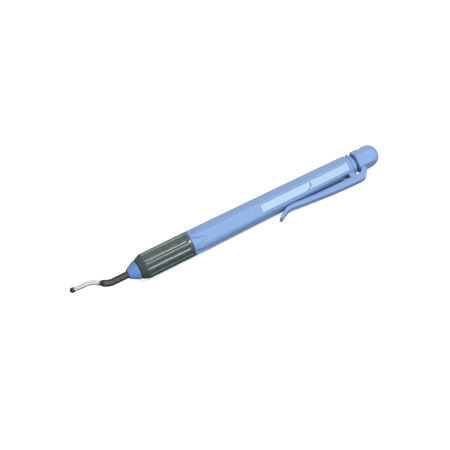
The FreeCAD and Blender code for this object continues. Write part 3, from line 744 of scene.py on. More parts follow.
@dataclass(frozen=True)
class HexSection:
    """Radius of a hexagon with rounded corners, in any direction from its middle."""

    rounding: float

    def radius(self, flat: float, turn: np.ndarray) -> np.ndarray:
        """Distance from the middle to the outline.

        Args:
            flat: distance from the middle to each flat.
            turn: the directions.

        Returns:
            The distances.
        """
        off_flat = np.abs((turn + HALF_FACET) % FACET - HALF_FACET)
        plain = flat / np.cos(off_flat)
        centre = (flat - self.rounding) / math.cos(HALF_FACET)
        off_corner = HALF_FACET - off_flat
        inside = np.maximum(self.rounding**2 - (centre * np.sin(off_corner)) ** 2, 0)
        curved = centre * np.cos(off_corner) + np.sqrt(inside)
        edge = self.edge(flat)
        return np.where(off_flat > edge, curved, plain)

    def edge(self, flat: float) -> float:
        """Angle from a flat's middle to where its corner's rounding starts."""
        return math.atan((flat - self.rounding) * math.tan(HALF_FACET) / flat)

    def turns(self, flat: float, flat_pieces: int = 8, corner_pieces: int = 6) -> np.ndarray:
        """Directions that fall on the section's edges.

        Args:
            flat: distance from the middle to each flat.
            flat_pieces: pieces of each flat.
            corner_pieces: pieces of each corner.

        Returns:
            The directions, once round.
        """
        edge = self.edge(flat)
        one = np.concatenate((
            np.linspace(-edge, edge, flat_pieces, endpoint=False),
            np.linspace(edge, FACET - edge, corner_pieces, endpoint=False)))
        return np.concatenate([one + FACET * k for k in range(FACETS)])


# ---------------------------------------------------------------- sub-assemblies


@dataclass
class Piece:
    """A sub-assembly that knows the axis and the finishes."""

    axis: Axis
    palette: Palette

    def settle(self, made: bpy.types.Object, body: Body, slot: str, *nodes: str) -> None:
        """Tie a piece to the CAD part.

        Args:
            made: the piece.
            body: the body that carries it.
            slot: the record's material slot; not used.
            nodes: the CAD nodes that it stands for.
        """
        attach(made, body.value)
        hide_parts(*nodes)


@dataclass
class Nose(Piece):
    """Tapered nose cone with its spigot, and the thin washer behind it, whose near-black colour is
    painted shade for the gap between cone and grip.
    """

    length: float = 4.4
    tip: float = 2.2
    base: float = 4.5
    mouth: float = 1.65
    lip: float = 1.2
    bore: float = 2.32
    spigot: float = 3.23
    spigot_back: float = 10.0
    washer_gap: float = 0.05
    washer_thickness: float = 0.45
    washer_outside: float = 3.9
    washer_inside: float = 3.25

    def build(self) -> list[bpy.types.Object]:
        """Make the cone and the washer."""
        cone = softened([
            (0, self.mouth, 0.14), (0, self.tip, 0.3), (self.length, self.base, 0.42),
            (self.length, self.spigot, 0), (self.spigot_back, self.spigot, 0.15),
            (self.spigot_back, self.bore, 0), (self.lip, self.bore, 0), (self.lip, self.mouth, 0),
        ])
        front = self.length + self.washer_gap
        back = front + self.washer_thickness
        washer = softened([
            (front, self.washer_inside, 0.08), (front, self.washer_outside, 0.12),
            (back, self.washer_outside, 0.12), (back, self.washer_inside, 0.08),
        ])
        return [
            Shell("nose_cone_moulded").add(turned_rows(self.axis, cone), True).make(self.palette.nose),
            # The washer's near-black plastic stands in for the shadow in the gap between nose cone and
            # grip.
            Shell("shadow_dark_grip_washer").add(turned_rows(self.axis, washer), True)
            .make(self.palette.dark_plastic),
        ]

    def dress(self, made: list[bpy.types.Object]) -> None:
        """Tie the pieces to the CAD part."""
        self.settle(made[0], Body.HANDLE, "blue_plastic", "nose_cone")
        self.settle(made[1], Body.HANDLE, "dark_plastic", "grip_ring")


@dataclass
class Grip(Piece):
    """Rubber grip whose flutes are pressed in by a node tree."""

    front: float = 4.95
    back: float = 30.25
    outside: float = 5.75
    front_radius: float = 4.42
    taper: float = 2.9
    bore: float = 3.92
    flutes: int = 12
    cutter: float = 1.6
    depth: float = 0.4
    flute_front: float = 8.65
    flute_back: float = 28.6
    first_flute: float = math.radians(11.5)
    shoulder_rounding: float = 0.4
    end_steepness: float = 2.6
    runout: float = 0.7
    fine_step: float = 0.06
    front_step: float = 0.09
    coarse_step: float = 0.6
    skin: float = 0.4

    def blank(self) -> bpy.types.Object:
        """Turn the plain sleeve, with points ready along the flutes' edges."""
        reach = self.outside - self.depth + self.cutter
        cosine = (self.outside**2 + reach**2 - self.cutter**2) / (2 * self.outside * reach)
        edge, step = math.acos(cosine), FULL_TURN / self.flutes
        inside = np.linspace(-edge, edge, 11, endpoint=False)
        outside = np.linspace(edge, step - edge, 7, endpoint=False)
        one = np.concatenate((inside, outside)) + self.first_flute
        turns = np.concatenate([one + step * k for k in range(self.flutes)])
        shoulder = self.front + self.taper
        start = softened([
            (self.front, self.bore, 0), (self.front, self.front_radius, 0.3),
            (shoulder, self.outside, self.shoulder_rounding),
            (self.flute_front, self.outside, 0)], closed=False)
        places = np.concatenate((
            np.arange(shoulder + self.shoulder_rounding + 0.05, self.flute_front, self.front_step),
            np.arange(self.flute_front, self.flute_back, self.coarse_step),
            np.arange(self.flute_back, self.flute_back + self.runout, self.fine_step)))
        end = softened([
            (self.flute_back + self.runout + 0.1, self.outside, 0), (self.back, self.outside, 0.3),
            (self.back, self.bore, 0.1), (self.back - 1, self.bore, 0)], closed=False)
        outline = start[:-1] + [(p, self.outside) for p in places] + end
        rows = np.stack([self.axis.at(place, radius, turns) for place, radius in outline])
        return Shell("grip_blank", sharp=28.0).add(rows, True).make(self.palette.grip)

    def flute_tree(self) -> bpy.types.GeometryNodeTree:
        """Build the tree that presses the flutes into the sleeve."""
        tree = bpy.data.node_groups.new("press_flutes", "GeometryNodeTree")
        tree.interface.new_socket("Geometry", in_out="INPUT", socket_type="NodeSocketGeometry")
        for name in (
            "Flutes", "First Flute", "Cutter", "Reach", "Flute Front", "Flute Back", "Axis Height",
            "Nose",
        ):
            tree.interface.new_socket(name, in_out="INPUT", socket_type="NodeSocketFloat")
        tree.interface.new_socket("Finish", in_out="INPUT", socket_type="NodeSocketMaterial")
        tree.interface.new_socket("Geometry", in_out="OUTPUT", socket_type="NodeSocketGeometry")
        graph = Graph(tree)
        first = graph.node("NodeGroupInput")
        given = {s.name: Wire(graph, s) for s in first.socket.node.outputs if s.name}
        spot = graph.node("GeometryNodeInputPosition")
        x = graph.node("ShaderNodeSeparateXYZ", None, {"Vector": spot}, "X")
        y, z = (Wire(graph, x.socket.node.outputs[k]) for k in ("Y", "Z"))
        up = z / MM - given["Axis Height"]
        side = y / MM
        place = x / MM - given["Nose"]
        radius = (side * side + up * up).root()
        step = given["Flutes"].math("POWER", -1.0) * FULL_TURN
        turn = ((side * -1.0).math("ARCTAN2", up) - given["First Flute"]) / step
        off = abs(turn - turn.math("ROUND")) * step
        ahead = (given["Flute Front"] - place).math("MAXIMUM", 0.0)
        behind = (place - given["Flute Back"]).math("MAXIMUM", 0.0) * self.end_steepness
        cutter = (given["Cutter"] * given["Cutter"] - ahead * ahead - behind * behind).root()
        sideways = given["Reach"] * off.math("SINE")
        hit = given["Reach"] * off.math("COSINE") - (cutter * cutter - sideways * sideways).root()
        cut = cutter.math("GREATER_THAN", sideways)
        outside = radius.math("GREATER_THAN", self.bore + self.skin)
        pressed = radius.math("MINIMUM", hit)
        wanted = (radius + (pressed - radius) * cut * outside) / radius
        new_y = side * wanted * MM
        new_z = (up * wanted + given["Axis Height"]) * MM
        moved = graph.node("ShaderNodeCombineXYZ", None, {"X": x, "Y": new_y, "Z": new_z})
        shaped = graph.node(
            "GeometryNodeSetPosition", None, {"Geometry": given["Geometry"], "Position": moved})
        real = graph.node("GeometryNodeRealizeInstances", None, {"Geometry": shaped})
        painted = graph.node(
            "GeometryNodeSetMaterial", None, {"Geometry": real, "Material": given["Finish"]})
        graph.node("NodeGroupOutput", None, {"Geometry": painted})
        return tree

    def build(self) -> bpy.types.Object:
        """Press the flutes and keep the result as a plain mesh."""
        blank = self.blank()
        inputs = {
            "Flutes": float(self.flutes), "First Flute": self.first_flute, "Cutter": self.cutter,
            "Reach": self.outside - self.depth + self.cutter, "Flute Front": self.flute_front,
            "Flute Back": self.flute_back, "Axis Height": self.axis.height, "Nose": self.axis.nose,
            "Finish": self.palette.grip.make(),
        }
        return pressed_out(blank, self.flute_tree(), inputs, "grip_fluted", CRISP)

    def dress(self, made: bpy.types.Object) -> None:
        """Tie the grip to the CAD part."""
        self.settle(made, Body.HANDLE, "grip_rubber", "grip_sleeve")


def pressed_out(
    blank: bpy.types.Object, tree: bpy.types.GeometryNodeTree, inputs: dict[str, Any], name: str,
    sharp: float,
) -> bpy.types.Object:
    """Run a node tree on an object and keep only the plain mesh.

    Args:
        blank: the object that the tree starts from; it is removed.
        tree: the geometry node tree.
        inputs: a value for each of the tree's named inputs.
        name: the new object's name.
        sharp: edges turned more than this many degrees stay sharp.

    Returns:
        The new object.
    """
    modifier = blank.modifiers.new(tree.name, "NODES")
    modifier.node_group = tree
    for item in tree.interface.items_tree:
        if item.in_out == "INPUT" and item.name in inputs:
            modifier[item.identifier] = inputs[item.name]
    return applied(blank, name, sharp)


def drilled(
    blank: bpy.types.Object, drill: bpy.types.Object, name: str, sharp: float,
) -> bpy.types.Object:
    """Take a drill's shape out of a piece; both are removed.

    Args:
        blank: the piece.
        drill: the closed shape to take away.
        name: the new object's name.
        sharp: edges turned more than this many degrees stay sharp.

    Returns:
        The drilled piece.
    """
    modifier = blank.modifiers.new("drill", "BOOLEAN")
    modifier.operation = "DIFFERENCE"
    modifier.solver = "EXACT"
    modifier.object = drill
    made = applied(blank, name, sharp)
    bpy.data.objects.remove(drill)
    return made


@dataclass
class Barrel(Piece):
    """Six-sided tapered barrel with a collar, scoops, the label's recess and the foot's slot."""

    front: float = 30.3
    back: float = 111.6
    front_flat: float = 5.475
    back_flat: float = 4.36
    front_corner: float = 5.78
    back_corner: float = 5.08
    corner_rounding: float = 0.35
    collar_back: float = 31.15
    collar_bevel: float = 0.35
    scoop_length: float = 6.75
    scoop_width: float = 5.6
    scoop_depth: float = 1.0
    scoop_tip: float = 0.08
    scoop_floor: float = 0.5
    label_front: float = 64.6
    label_length: float = 45.8
    label_width: float = 4.0
    label_depth: float = 0.4
    slot_length: float = 5.5
    slot_width: float = 3.4
    slot_depth: float = 0.5
    end_bevel: float = 0.7
    rod_bore: float = 2.3
    spring_bore: float = 2.95
    tube_bore: float = 3.92
    tube_back: float = 41.65
    shoulder: float = 75.3
    wall: float = 0.012
    rim_step: float = 0.09
    floor_step: float = 0.07
    scoop_start_gap: float = 0.02

    def share(self, place: float) -> float:
        """How far along the barrel a place is, from 0 to 1."""
        return (place - self.front) / (self.back - self.front)

    def flat(self, place: float) -> float:
        """Distance from the axis to the flats at a place."""
        return self.front_flat + (self.back_flat - self.front_flat) * self.share(place)

    def corner(self, place: float) -> float:
        """Radius of the circle that rounds the corners at a place."""
        return self.front_corner + (self.back_corner - self.front_corner) * self.share(place)

    def pocket(self, facet: int, place: float) -> tuple[float, float, float]:
        """Half widths of a facet's hollow at its floor and rim, and its depth.

        Args:
            facet: the facet, counted from the top one.
            place: where along the tool.

        Returns:
            Floor half width, rim half width, depth.
        """
        tip = self.collar_back + self.scoop_length
        label_back = self.label_front + self.label_length
        if place <= tip:
            size = 1 - (1 - self.scoop_tip) * (place - self.collar_back) / self.scoop_length
            half = self.scoop_width * size / 2
            return half * self.scoop_floor, half, self.scoop_depth * size
        if facet == 2 and place >= self.back - self.slot_length:
            depth = self.slot_depth + self.flat(place) - self.back_flat
            return self.slot_width / 2 - self.wall, self.slot_width / 2, depth
        half = self.label_width / 2
        if place < self.label_front:
            share = (place - tip) / (self.label_front - tip)
            small = self.scoop_width * self.scoop_tip / 2
            half = small + (half - small) * share
            return half - self.wall, half, 0.0
        cut = facet == 1 and self.label_front <= place <= label_back
        return half - self.wall, half, self.label_depth if cut else 0.0

    def half_section(self, facet: int, place: float) -> tuple[np.ndarray, np.ndarray]:
        """Points of half a facet, from its middle to its corner.

        Args:
            facet: the facet, counted from the top one.
            place: where along the tool.

        Returns:
            Their angles from the facet's middle, and their radii.
        """
        flat, corner = self.flat(place), self.corner(place)
        hexed = HexSection(self.corner_rounding)
        floor_half, rim_half, depth = self.pocket(facet, place)
        floor = flat - depth
        across = np.array([0, floor_half / 2, floor_half - self.floor_step, floor_half])
        angles = np.arctan2(across, floor)
        radii = np.hypot(across, floor)
        rim = Vector((rim_half, flat))
        if rim.length > corner:
            foot = Vector((floor_half, floor))
            shares = np.linspace(0, 1, 200)
            reach = [foot.lerp(rim, s).length for s in shares]
            rim = foot.lerp(rim, float(np.interp(corner, reach, shares)))
        rim_angle = math.atan2(rim.x, rim.y)
        edge = min(hexed.edge(flat), math.acos(min(1.0, flat / corner)))
        small = self.rim_step / flat
        if edge > rim_angle + 3 * small:
            arc = HALF_FACET - edge
            rest = np.array([
                rim_angle + small, (rim_angle + edge) / 2, edge - small, edge, edge + arc / 3,
                edge + arc * 2 / 3, HALF_FACET])
        else:
            rest = np.linspace(rim_angle, HALF_FACET, 8)[1:]
        outline = np.minimum(hexed.radius(flat, rest), corner)
        return (
            np.concatenate((angles, [rim_angle], rest)),
            np.concatenate((radii, [rim.length], outline)),
        )

    def section(self, place: float) -> tuple[np.ndarray, np.ndarray]:
        """The whole section at a place, as turns and radii."""
        turns, radii = [], []
        for facet in range(FACETS):
            angle, radius = self.half_section(facet, place)
            turns.append(FACET * facet + np.concatenate((-angle[:0:-1], angle[:-1])))
            radii.append(np.concatenate((radius[:0:-1], radius[:-1])))
        return np.concatenate(turns), np.concatenate(radii)

    def places(self) -> np.ndarray:
        """Where the sections lie."""
        tip = self.collar_back + self.scoop_length
        slot = self.back - self.slot_length
        label_back = self.label_front + self.label_length
        return np.concatenate((
            np.linspace(self.collar_back + self.scoop_start_gap, tip, 26),
            np.linspace(tip + self.scoop_start_gap, self.label_front - self.wall, 12),
            np.linspace(self.label_front, slot - self.wall, 18),
            np.linspace(slot, label_back, 6),
            [label_back + self.wall],
            np.linspace(label_back + 0.1, self.back, 7)))

    def build(self) -> bpy.types.Object:
        """Make the barrel's closed surface."""
        first_turns, _ = self.section(self.collar_back + self.scoop_start_gap)
        rows = []
        collar = softened([
            (self.front, self.tube_bore, 0),
            (self.front, self.front_corner - self.collar_bevel, 0.12),
            (self.front + self.collar_bevel, self.front_corner, 0.14),
            (self.collar_back, self.front_corner, 0.12),
            (self.collar_back, self.front_flat - self.scoop_depth, 0)], closed=False)[:-1]
        rows += [self.axis.at(place, radius, first_turns) for place, radius in collar]
        hexed_corner = self.back_flat / math.cos(HALF_FACET)
        for place in self.places():
            turns, radii = self.section(place)
            bevel = max(0.0, place - (self.back - self.end_bevel))
            limit = hexed_corner - bevel if bevel > 0 else NO_LIMIT
            rows.append(self.axis.at(place, np.minimum(radii, limit), turns))
        last_turns, _ = self.section(self.back)
        bore = [
            (self.back, self.spring_bore + 0.1), (self.back - 0.1, self.spring_bore),
            (self.shoulder, self.spring_bore), (self.shoulder, self.rod_bore),
            (self.tube_back, self.rod_bore), (self.tube_back, self.tube_bore)]
        rows += [self.axis.at(place, radius, last_turns) for place, radius in bore]
        shell = Shell("barrel_moulded", sharp=26.0).add(np.stack(rows), True)
        return shell.make(self.palette.barrel)

    def dress(self, made: bpy.types.Object) -> None:
        """Tie the barrel to the CAD part."""
        self.settle(made, Body.HANDLE, "blue_plastic", "barrel")


@dataclass
class Label(Piece):
    """Glossy strip in the barrel's recess."""

    barrel: Barrel | None = None
    gap: float = 0.05
    lift: float = 0.02
    thickness: float = 0.3
    corner: float = 0.25
    edge: float = 0.07
    spine: float = 1.2

    def outline(self, inset: float) -> list[Point]:
        """The strip's plan, pulled in by an inset, as (place, across)."""
        front = self.barrel.label_front + self.gap + inset
        back = self.barrel.label_front + self.barrel.label_length - self.gap - inset
        half = self.barrel.label_width / 2 - self.gap - inset
        rounding = self.corner
        return softened([
            (front, -half, rounding), (back, -half, rounding), (back, half, rounding),
            (front, half, rounding)], steps=5)

    def build(self) -> bpy.types.Object:
        """Make the strip."""
        base = self.lift - self.barrel.label_depth
        layers = [
            (0.0, base), (0.0, base + self.thickness - self.edge),
            (self.edge * 0.4, base + self.thickness - self.edge * 0.3),
            (self.edge, base + self.thickness), (self.edge * 2.5, base + self.thickness)]

        def ring(points: list[Point], height: float) -> np.ndarray:
            """Set one layer's points on the label's facet."""
            place, across = np.array(points).T
            out = np.array([self.barrel.flat(p) for p in place]) + height
            return self.axis.beside(place, across, out, Turn.LABEL.value)

        spine = [(place, 0.0) for place, _ in self.outline(self.spine)]
        rows = [ring(spine, base)]
        rows += [ring(self.outline(inset), height) for inset, height in layers]
        rows += [ring(spine, base + self.thickness)]
        return Shell("label_strip").add(np.stack(rows), False).make(self.palette.label)

    def dress(self, made: bpy.types.Object) -> None:
        """Tie the strip to the CAD part."""
        self.settle(made, Body.HANDLE, "label_strip", "label_panel")


@dataclass
class RearBush(Piece):
    """Plug in the barrel's back with a flared six-sided end."""

    barrel: Barrel | None = None
    front: float = 95.2
    face: float = 111.65
    back: float = 113.15
    flare: float = 4.0
    bore: float = 2.35
    plug: float = 2.93
    bevel: float = 0.2
    corner_rounding: float = 0.4
    flare_end: float = 0.35

    def build(self) -> bpy.types.Object:
        """Make the bush."""
        hexed = HexSection(self.corner_rounding)
        flat = self.barrel.back_flat
        corner = flat / math.cos(HALF_FACET)
        turns = hexed.turns(flat)
        limits = softened([
            (self.face, self.plug, 0), (self.face, self.flare, 0.12),
            (self.back - self.flare_end, corner, 0.25), (self.back - self.bevel, corner, 0.1),
            (self.back, corner - self.bevel, 0), (self.back, self.bore, 0.15),
            (self.front, self.bore, 0.1), (self.front, self.plug, 0)])
        fine: list[Point] = []
        for (a, b), (c, e) in zip(limits, limits[1:]):
            pieces = 6 if abs(e - b) > 0.3 and a < c else 1
            fine += [(a + (c - a) * k / pieces, b + (e - b) * k / pieces) for k in range(pieces)]
        fine.append(limits[-1])
        outline = hexed.radius(flat, turns)
        rows = [self.axis.at(place, np.minimum(outline, limit), turns) for place, limit in fine]
        shell = Shell("rear_bush_moulded", sharp=28.0).add(np.stack(rows), True)
        return shell.make(self.palette.barrel)

    def dress(self, made: bpy.types.Object) -> None:
        """Tie the bush to the CAD part."""
        self.settle(made, Body.HANDLE, "blue_plastic", "rear_bush")


@dataclass
class Button(Piece):
    """Six-sided push button with a rounded end, a thumb hollow and the blind hole of its cross pin."""

    front: float = 114.75
    length: float = 11.25
    flat: float = 4.475
    corner_rounding: float = 0.45
    dome_length: float = 5.4
    dome_end: float = 1.9
    bevel: float = 0.45
    hollow_cutter: float = 2.2
    hollow_depth: float = 0.55
    hollow_place: float = 4.25
    socket: float = 2.32
    socket_depth: float = 6.95
    pin_place: float = 2.9
    pin_hole: float = 0.62
    pin_end: float = 3.2
    mouth_bevel: float = 0.15
    drill_columns: int = 32

    def limit(self, place: float) -> float:
        """Largest radius at a place, from the front bevel and the rounded end."""
        corner = self.flat / math.cos(HALF_FACET)
        dome = self.front + self.length - self.dome_length
        if place < self.front + self.bevel:
            return corner - self.bevel + (place - self.front)
        if place > dome:
            rise = min(1.0, (place - dome) / self.dome_length)
            return corner - (corner - self.dome_end) * (1 - math.sqrt(1 - rise**2))
        return corner

    def hollowed(self, place: float, turns: np.ndarray) -> np.ndarray:
        """Largest radius that the thumb hollow leaves, for each direction."""
        off = abs(place - self.front - self.hollow_place)
        if off >= self.hollow_cutter:
            return np.full(len(turns), NO_LIMIT)
        corner = self.flat / math.cos(HALF_FACET)
        middle = corner - self.hollow_depth + self.hollow_cutter
        depth = middle - math.sqrt(self.hollow_cutter**2 - off**2)
        return depth / np.maximum(np.cos(turns - Turn.THUMB.value), 0.05)

    def build(self) -> bpy.types.Object:
        """Make the button and drill the pin's hole."""
        hexed = HexSection(self.corner_rounding)
        turns = hexed.turns(self.flat, 10, 8)
        outline = hexed.radius(self.flat, turns)
        back = self.front + self.length
        dome = back - self.dome_length
        rises = self.dome_length * np.sin(np.linspace(0, math.pi / 2, 15))
        places = np.concatenate((
            np.linspace(self.front, self.front + self.bevel, 5),
            np.linspace(self.front + self.bevel + 0.05, dome - 0.1, 40), dome + rises))
        rows = [self.axis.at(self.front + self.socket_depth, 0.0, turns)]
        rows.append(self.axis.at(self.front + self.socket_depth, self.socket, turns))
        rows.append(self.axis.at(self.front + self.mouth_bevel, self.socket, turns))
        rows.append(self.axis.at(self.front, self.socket + self.mouth_bevel, turns))
        for place in places:
            radius = np.minimum(np.minimum(outline, self.limit(place)), self.hollowed(place, turns))
            rows.append(self.axis.at(place, radius, turns))
        for share in (0.9, 0.6, 0.3, 0.0):
            rows.append(self.axis.at(back, self.dome_end * share, turns))
        shell = Shell("push_button_blank", sharp=CRISP).add(np.stack(rows), False)
        return drilled(shell.make(self.palette.barrel), self.drill(), "push_button", CRISP)

    def drill(self) -> bpy.types.Object:
        """Make the drill of the pin's hole, which goes in opposite the clip and past the stem."""
        turns = np.arange(self.drill_columns) * FULL_TURN / self.drill_columns
        middle, turn = self.front + self.pin_place, Turn.BACK.value
        bottom, top = -self.pin_end, 2 * self.flat
        outline = ((bottom, 0.0), (bottom, self.pin_hole), (top, self.pin_hole), (top, 0.0))
        rows = [
            self.axis.beside(middle + radius * np.cos(turns), radius * np.sin(turns), out, turn)
            for out, radius in outline]
        return Shell("pin_drill").add(np.stack(rows), False).make(self.palette.barrel)

    def dress(self, made: bpy.types.Object) -> None:
        """Tie the button to the CAD part."""
        self.settle(made, Body.BUTTON, "blue_plastic", "end_cap")


@dataclass(frozen=True)
class ClipStation:
    """One place along the clip's middle line, in the plane of its side view."""

    back: float
    out: float
    thickness: float


@dataclass
class Clip(Piece):
    """Springy pocket clip that grows out of the button, and the foot that slides on the barrel."""

    barrel: Barrel | None = None
    button: Button | None = None
    width: float = 3.2
    edge: float = 0.38
    tip_rounding: float = 0.16
    foot_length: float = 2.9
    foot_inset: float = 0.08
    foot_gap: float = 0.05
    foot_height: float = 3.4
    foot_rounding: float = 0.15
    foot_edge: float = 0.04
    stations: tuple[ClipStation, ...] = (
        ClipStation(1.83, -0.9, 2.3),
        ClipStation(1.75, 0.3, 2.35),
        ClipStation(1.3, 1.35, 2.6),
        ClipStation(0.26, 2.68, 2.85),
        ClipStation(-1.8, 3.65, 3.15),
        ClipStation(-8.2, 3.55, 3.15),
        ClipStation(-17.3, 3.22, 2.8),
        ClipStation(-25.5, 2.72, 2.3),
        ClipStation(-33.9, 1.93, 2.1),
        ClipStation(-36.9, 1.73, 1.88),
        ClipStation(-39.0, 2.12, 1.66),
        ClipStation(-40.7, 2.97, 1.48),
        ClipStation(-42.3, 4.02, 1.36),
        ClipStation(-43.75, 4.85, 1.2),
    )

    def band(self, middles: np.ndarray, directions: np.ndarray, halves: np.ndarray, width: float
             ) -> np.ndarray:
        """Sweep a rounded rectangle.

        Args:
            middles: (place, out) of each section's middle.
            directions: the way along, at each section.
            halves: half of each section's thickness.
            width: the band's width.

        Returns:
            The rows of points, closed to a point at both ends.
        """
        def rectangle(half: float, side: float) -> list[Point]:
            """Outline of one section."""
            take = min(self.edge, half * 0.8, side * 0.8)
            return softened([
                (-half, -side, take), (half, -side, take), (half, side, take), (-half, side, take)])

        rows = []
        for middle, way, half in zip(middles, directions, halves):
            square = np.array([-way[1], way[0]])
            along, across = np.array(rectangle(half, width / 2)).T
            spots = middle + along[:, None] * square
            rows.append(self.axis.beside(spots[:, 0], across, spots[:, 1], Turn.CLIP.value))
        first = np.broadcast_to(rows[0].mean(0), rows[0].shape)
        last = np.broadcast_to(rows[-1].mean(0), rows[-1].shape)
        return np.stack([first, *rows, last])

    def blade_of_clip(self) -> np.ndarray:
        """Rows of the clip's long springy part."""
        flat = self.barrel.back_flat
        line = through([(s.back, s.out, s.thickness) for s in self.stations], 7)
        middles = np.stack((self.button.front + line[:, 0], flat + line[:, 1]), 1)
        ways = np.gradient(middles, axis=0)
        ways /= np.linalg.norm(ways, axis=1)[:, None]
        rows = self.band(middles, ways, line[:, 2] / 2, self.width)
        half, tip = line[-1, 2] / 2, []
        for angle in np.linspace(0.3, math.pi / 2 - 0.02, 5):
            shift = middles[-1] + ways[-1] * self.tip_rounding * math.sin(angle)
            taken = self.tip_rounding * (1 - math.cos(angle))
            tip.append(self.band(
                shift[None], ways[-1][None], np.array([half - taken]), self.width - 2 * taken)[1])
        last = np.broadcast_to(tip[-1].mean(0), tip[-1].shape)
        return np.concatenate((rows[:-1], np.stack(tip), last[None]))

    def foot(self) -> np.ndarray:
        """Rows of the block that slides in the barrel's slot."""
        back = self.barrel.back - self.foot_gap
        low = self.barrel.back_flat - self.barrel.slot_depth + 2 * self.foot_gap
        high = self.barrel.back_flat + self.foot_height
        middle = back - self.foot_length / 2
        outs = np.array([
            low, low + self.foot_edge, low + self.foot_rounding, (low + high) / 2, high])
        taken = np.array([self.foot_rounding, self.foot_edge, 0.0, 0.0, 0.0])
        halves = self.foot_length / 2 - taken
        middles = np.stack((np.full(len(outs), middle), outs), 1)
        ways = np.tile(np.array([0.0, 1.0]), (len(outs), 1))
        return self.band(middles, ways, halves, self.width - self.foot_inset)

    def build(self) -> bpy.types.Object:
        """Make the clip and its foot."""
        shell = Shell("pocket_clip", sharp=30.0).add(self.blade_of_clip(), False).add(self.foot(), False)
        return shell.make(self.palette.barrel)

    def dress(self, made: bpy.types.Object) -> None:
        """Tie the clip to the CAD part."""
        self.settle(made, Body.BUTTON, "blue_plastic", "end_cap")


class BladeSlot(Enum):
    """Finishes of the blade, in slot order."""

    OXIDE = 0
    GROUND = 1


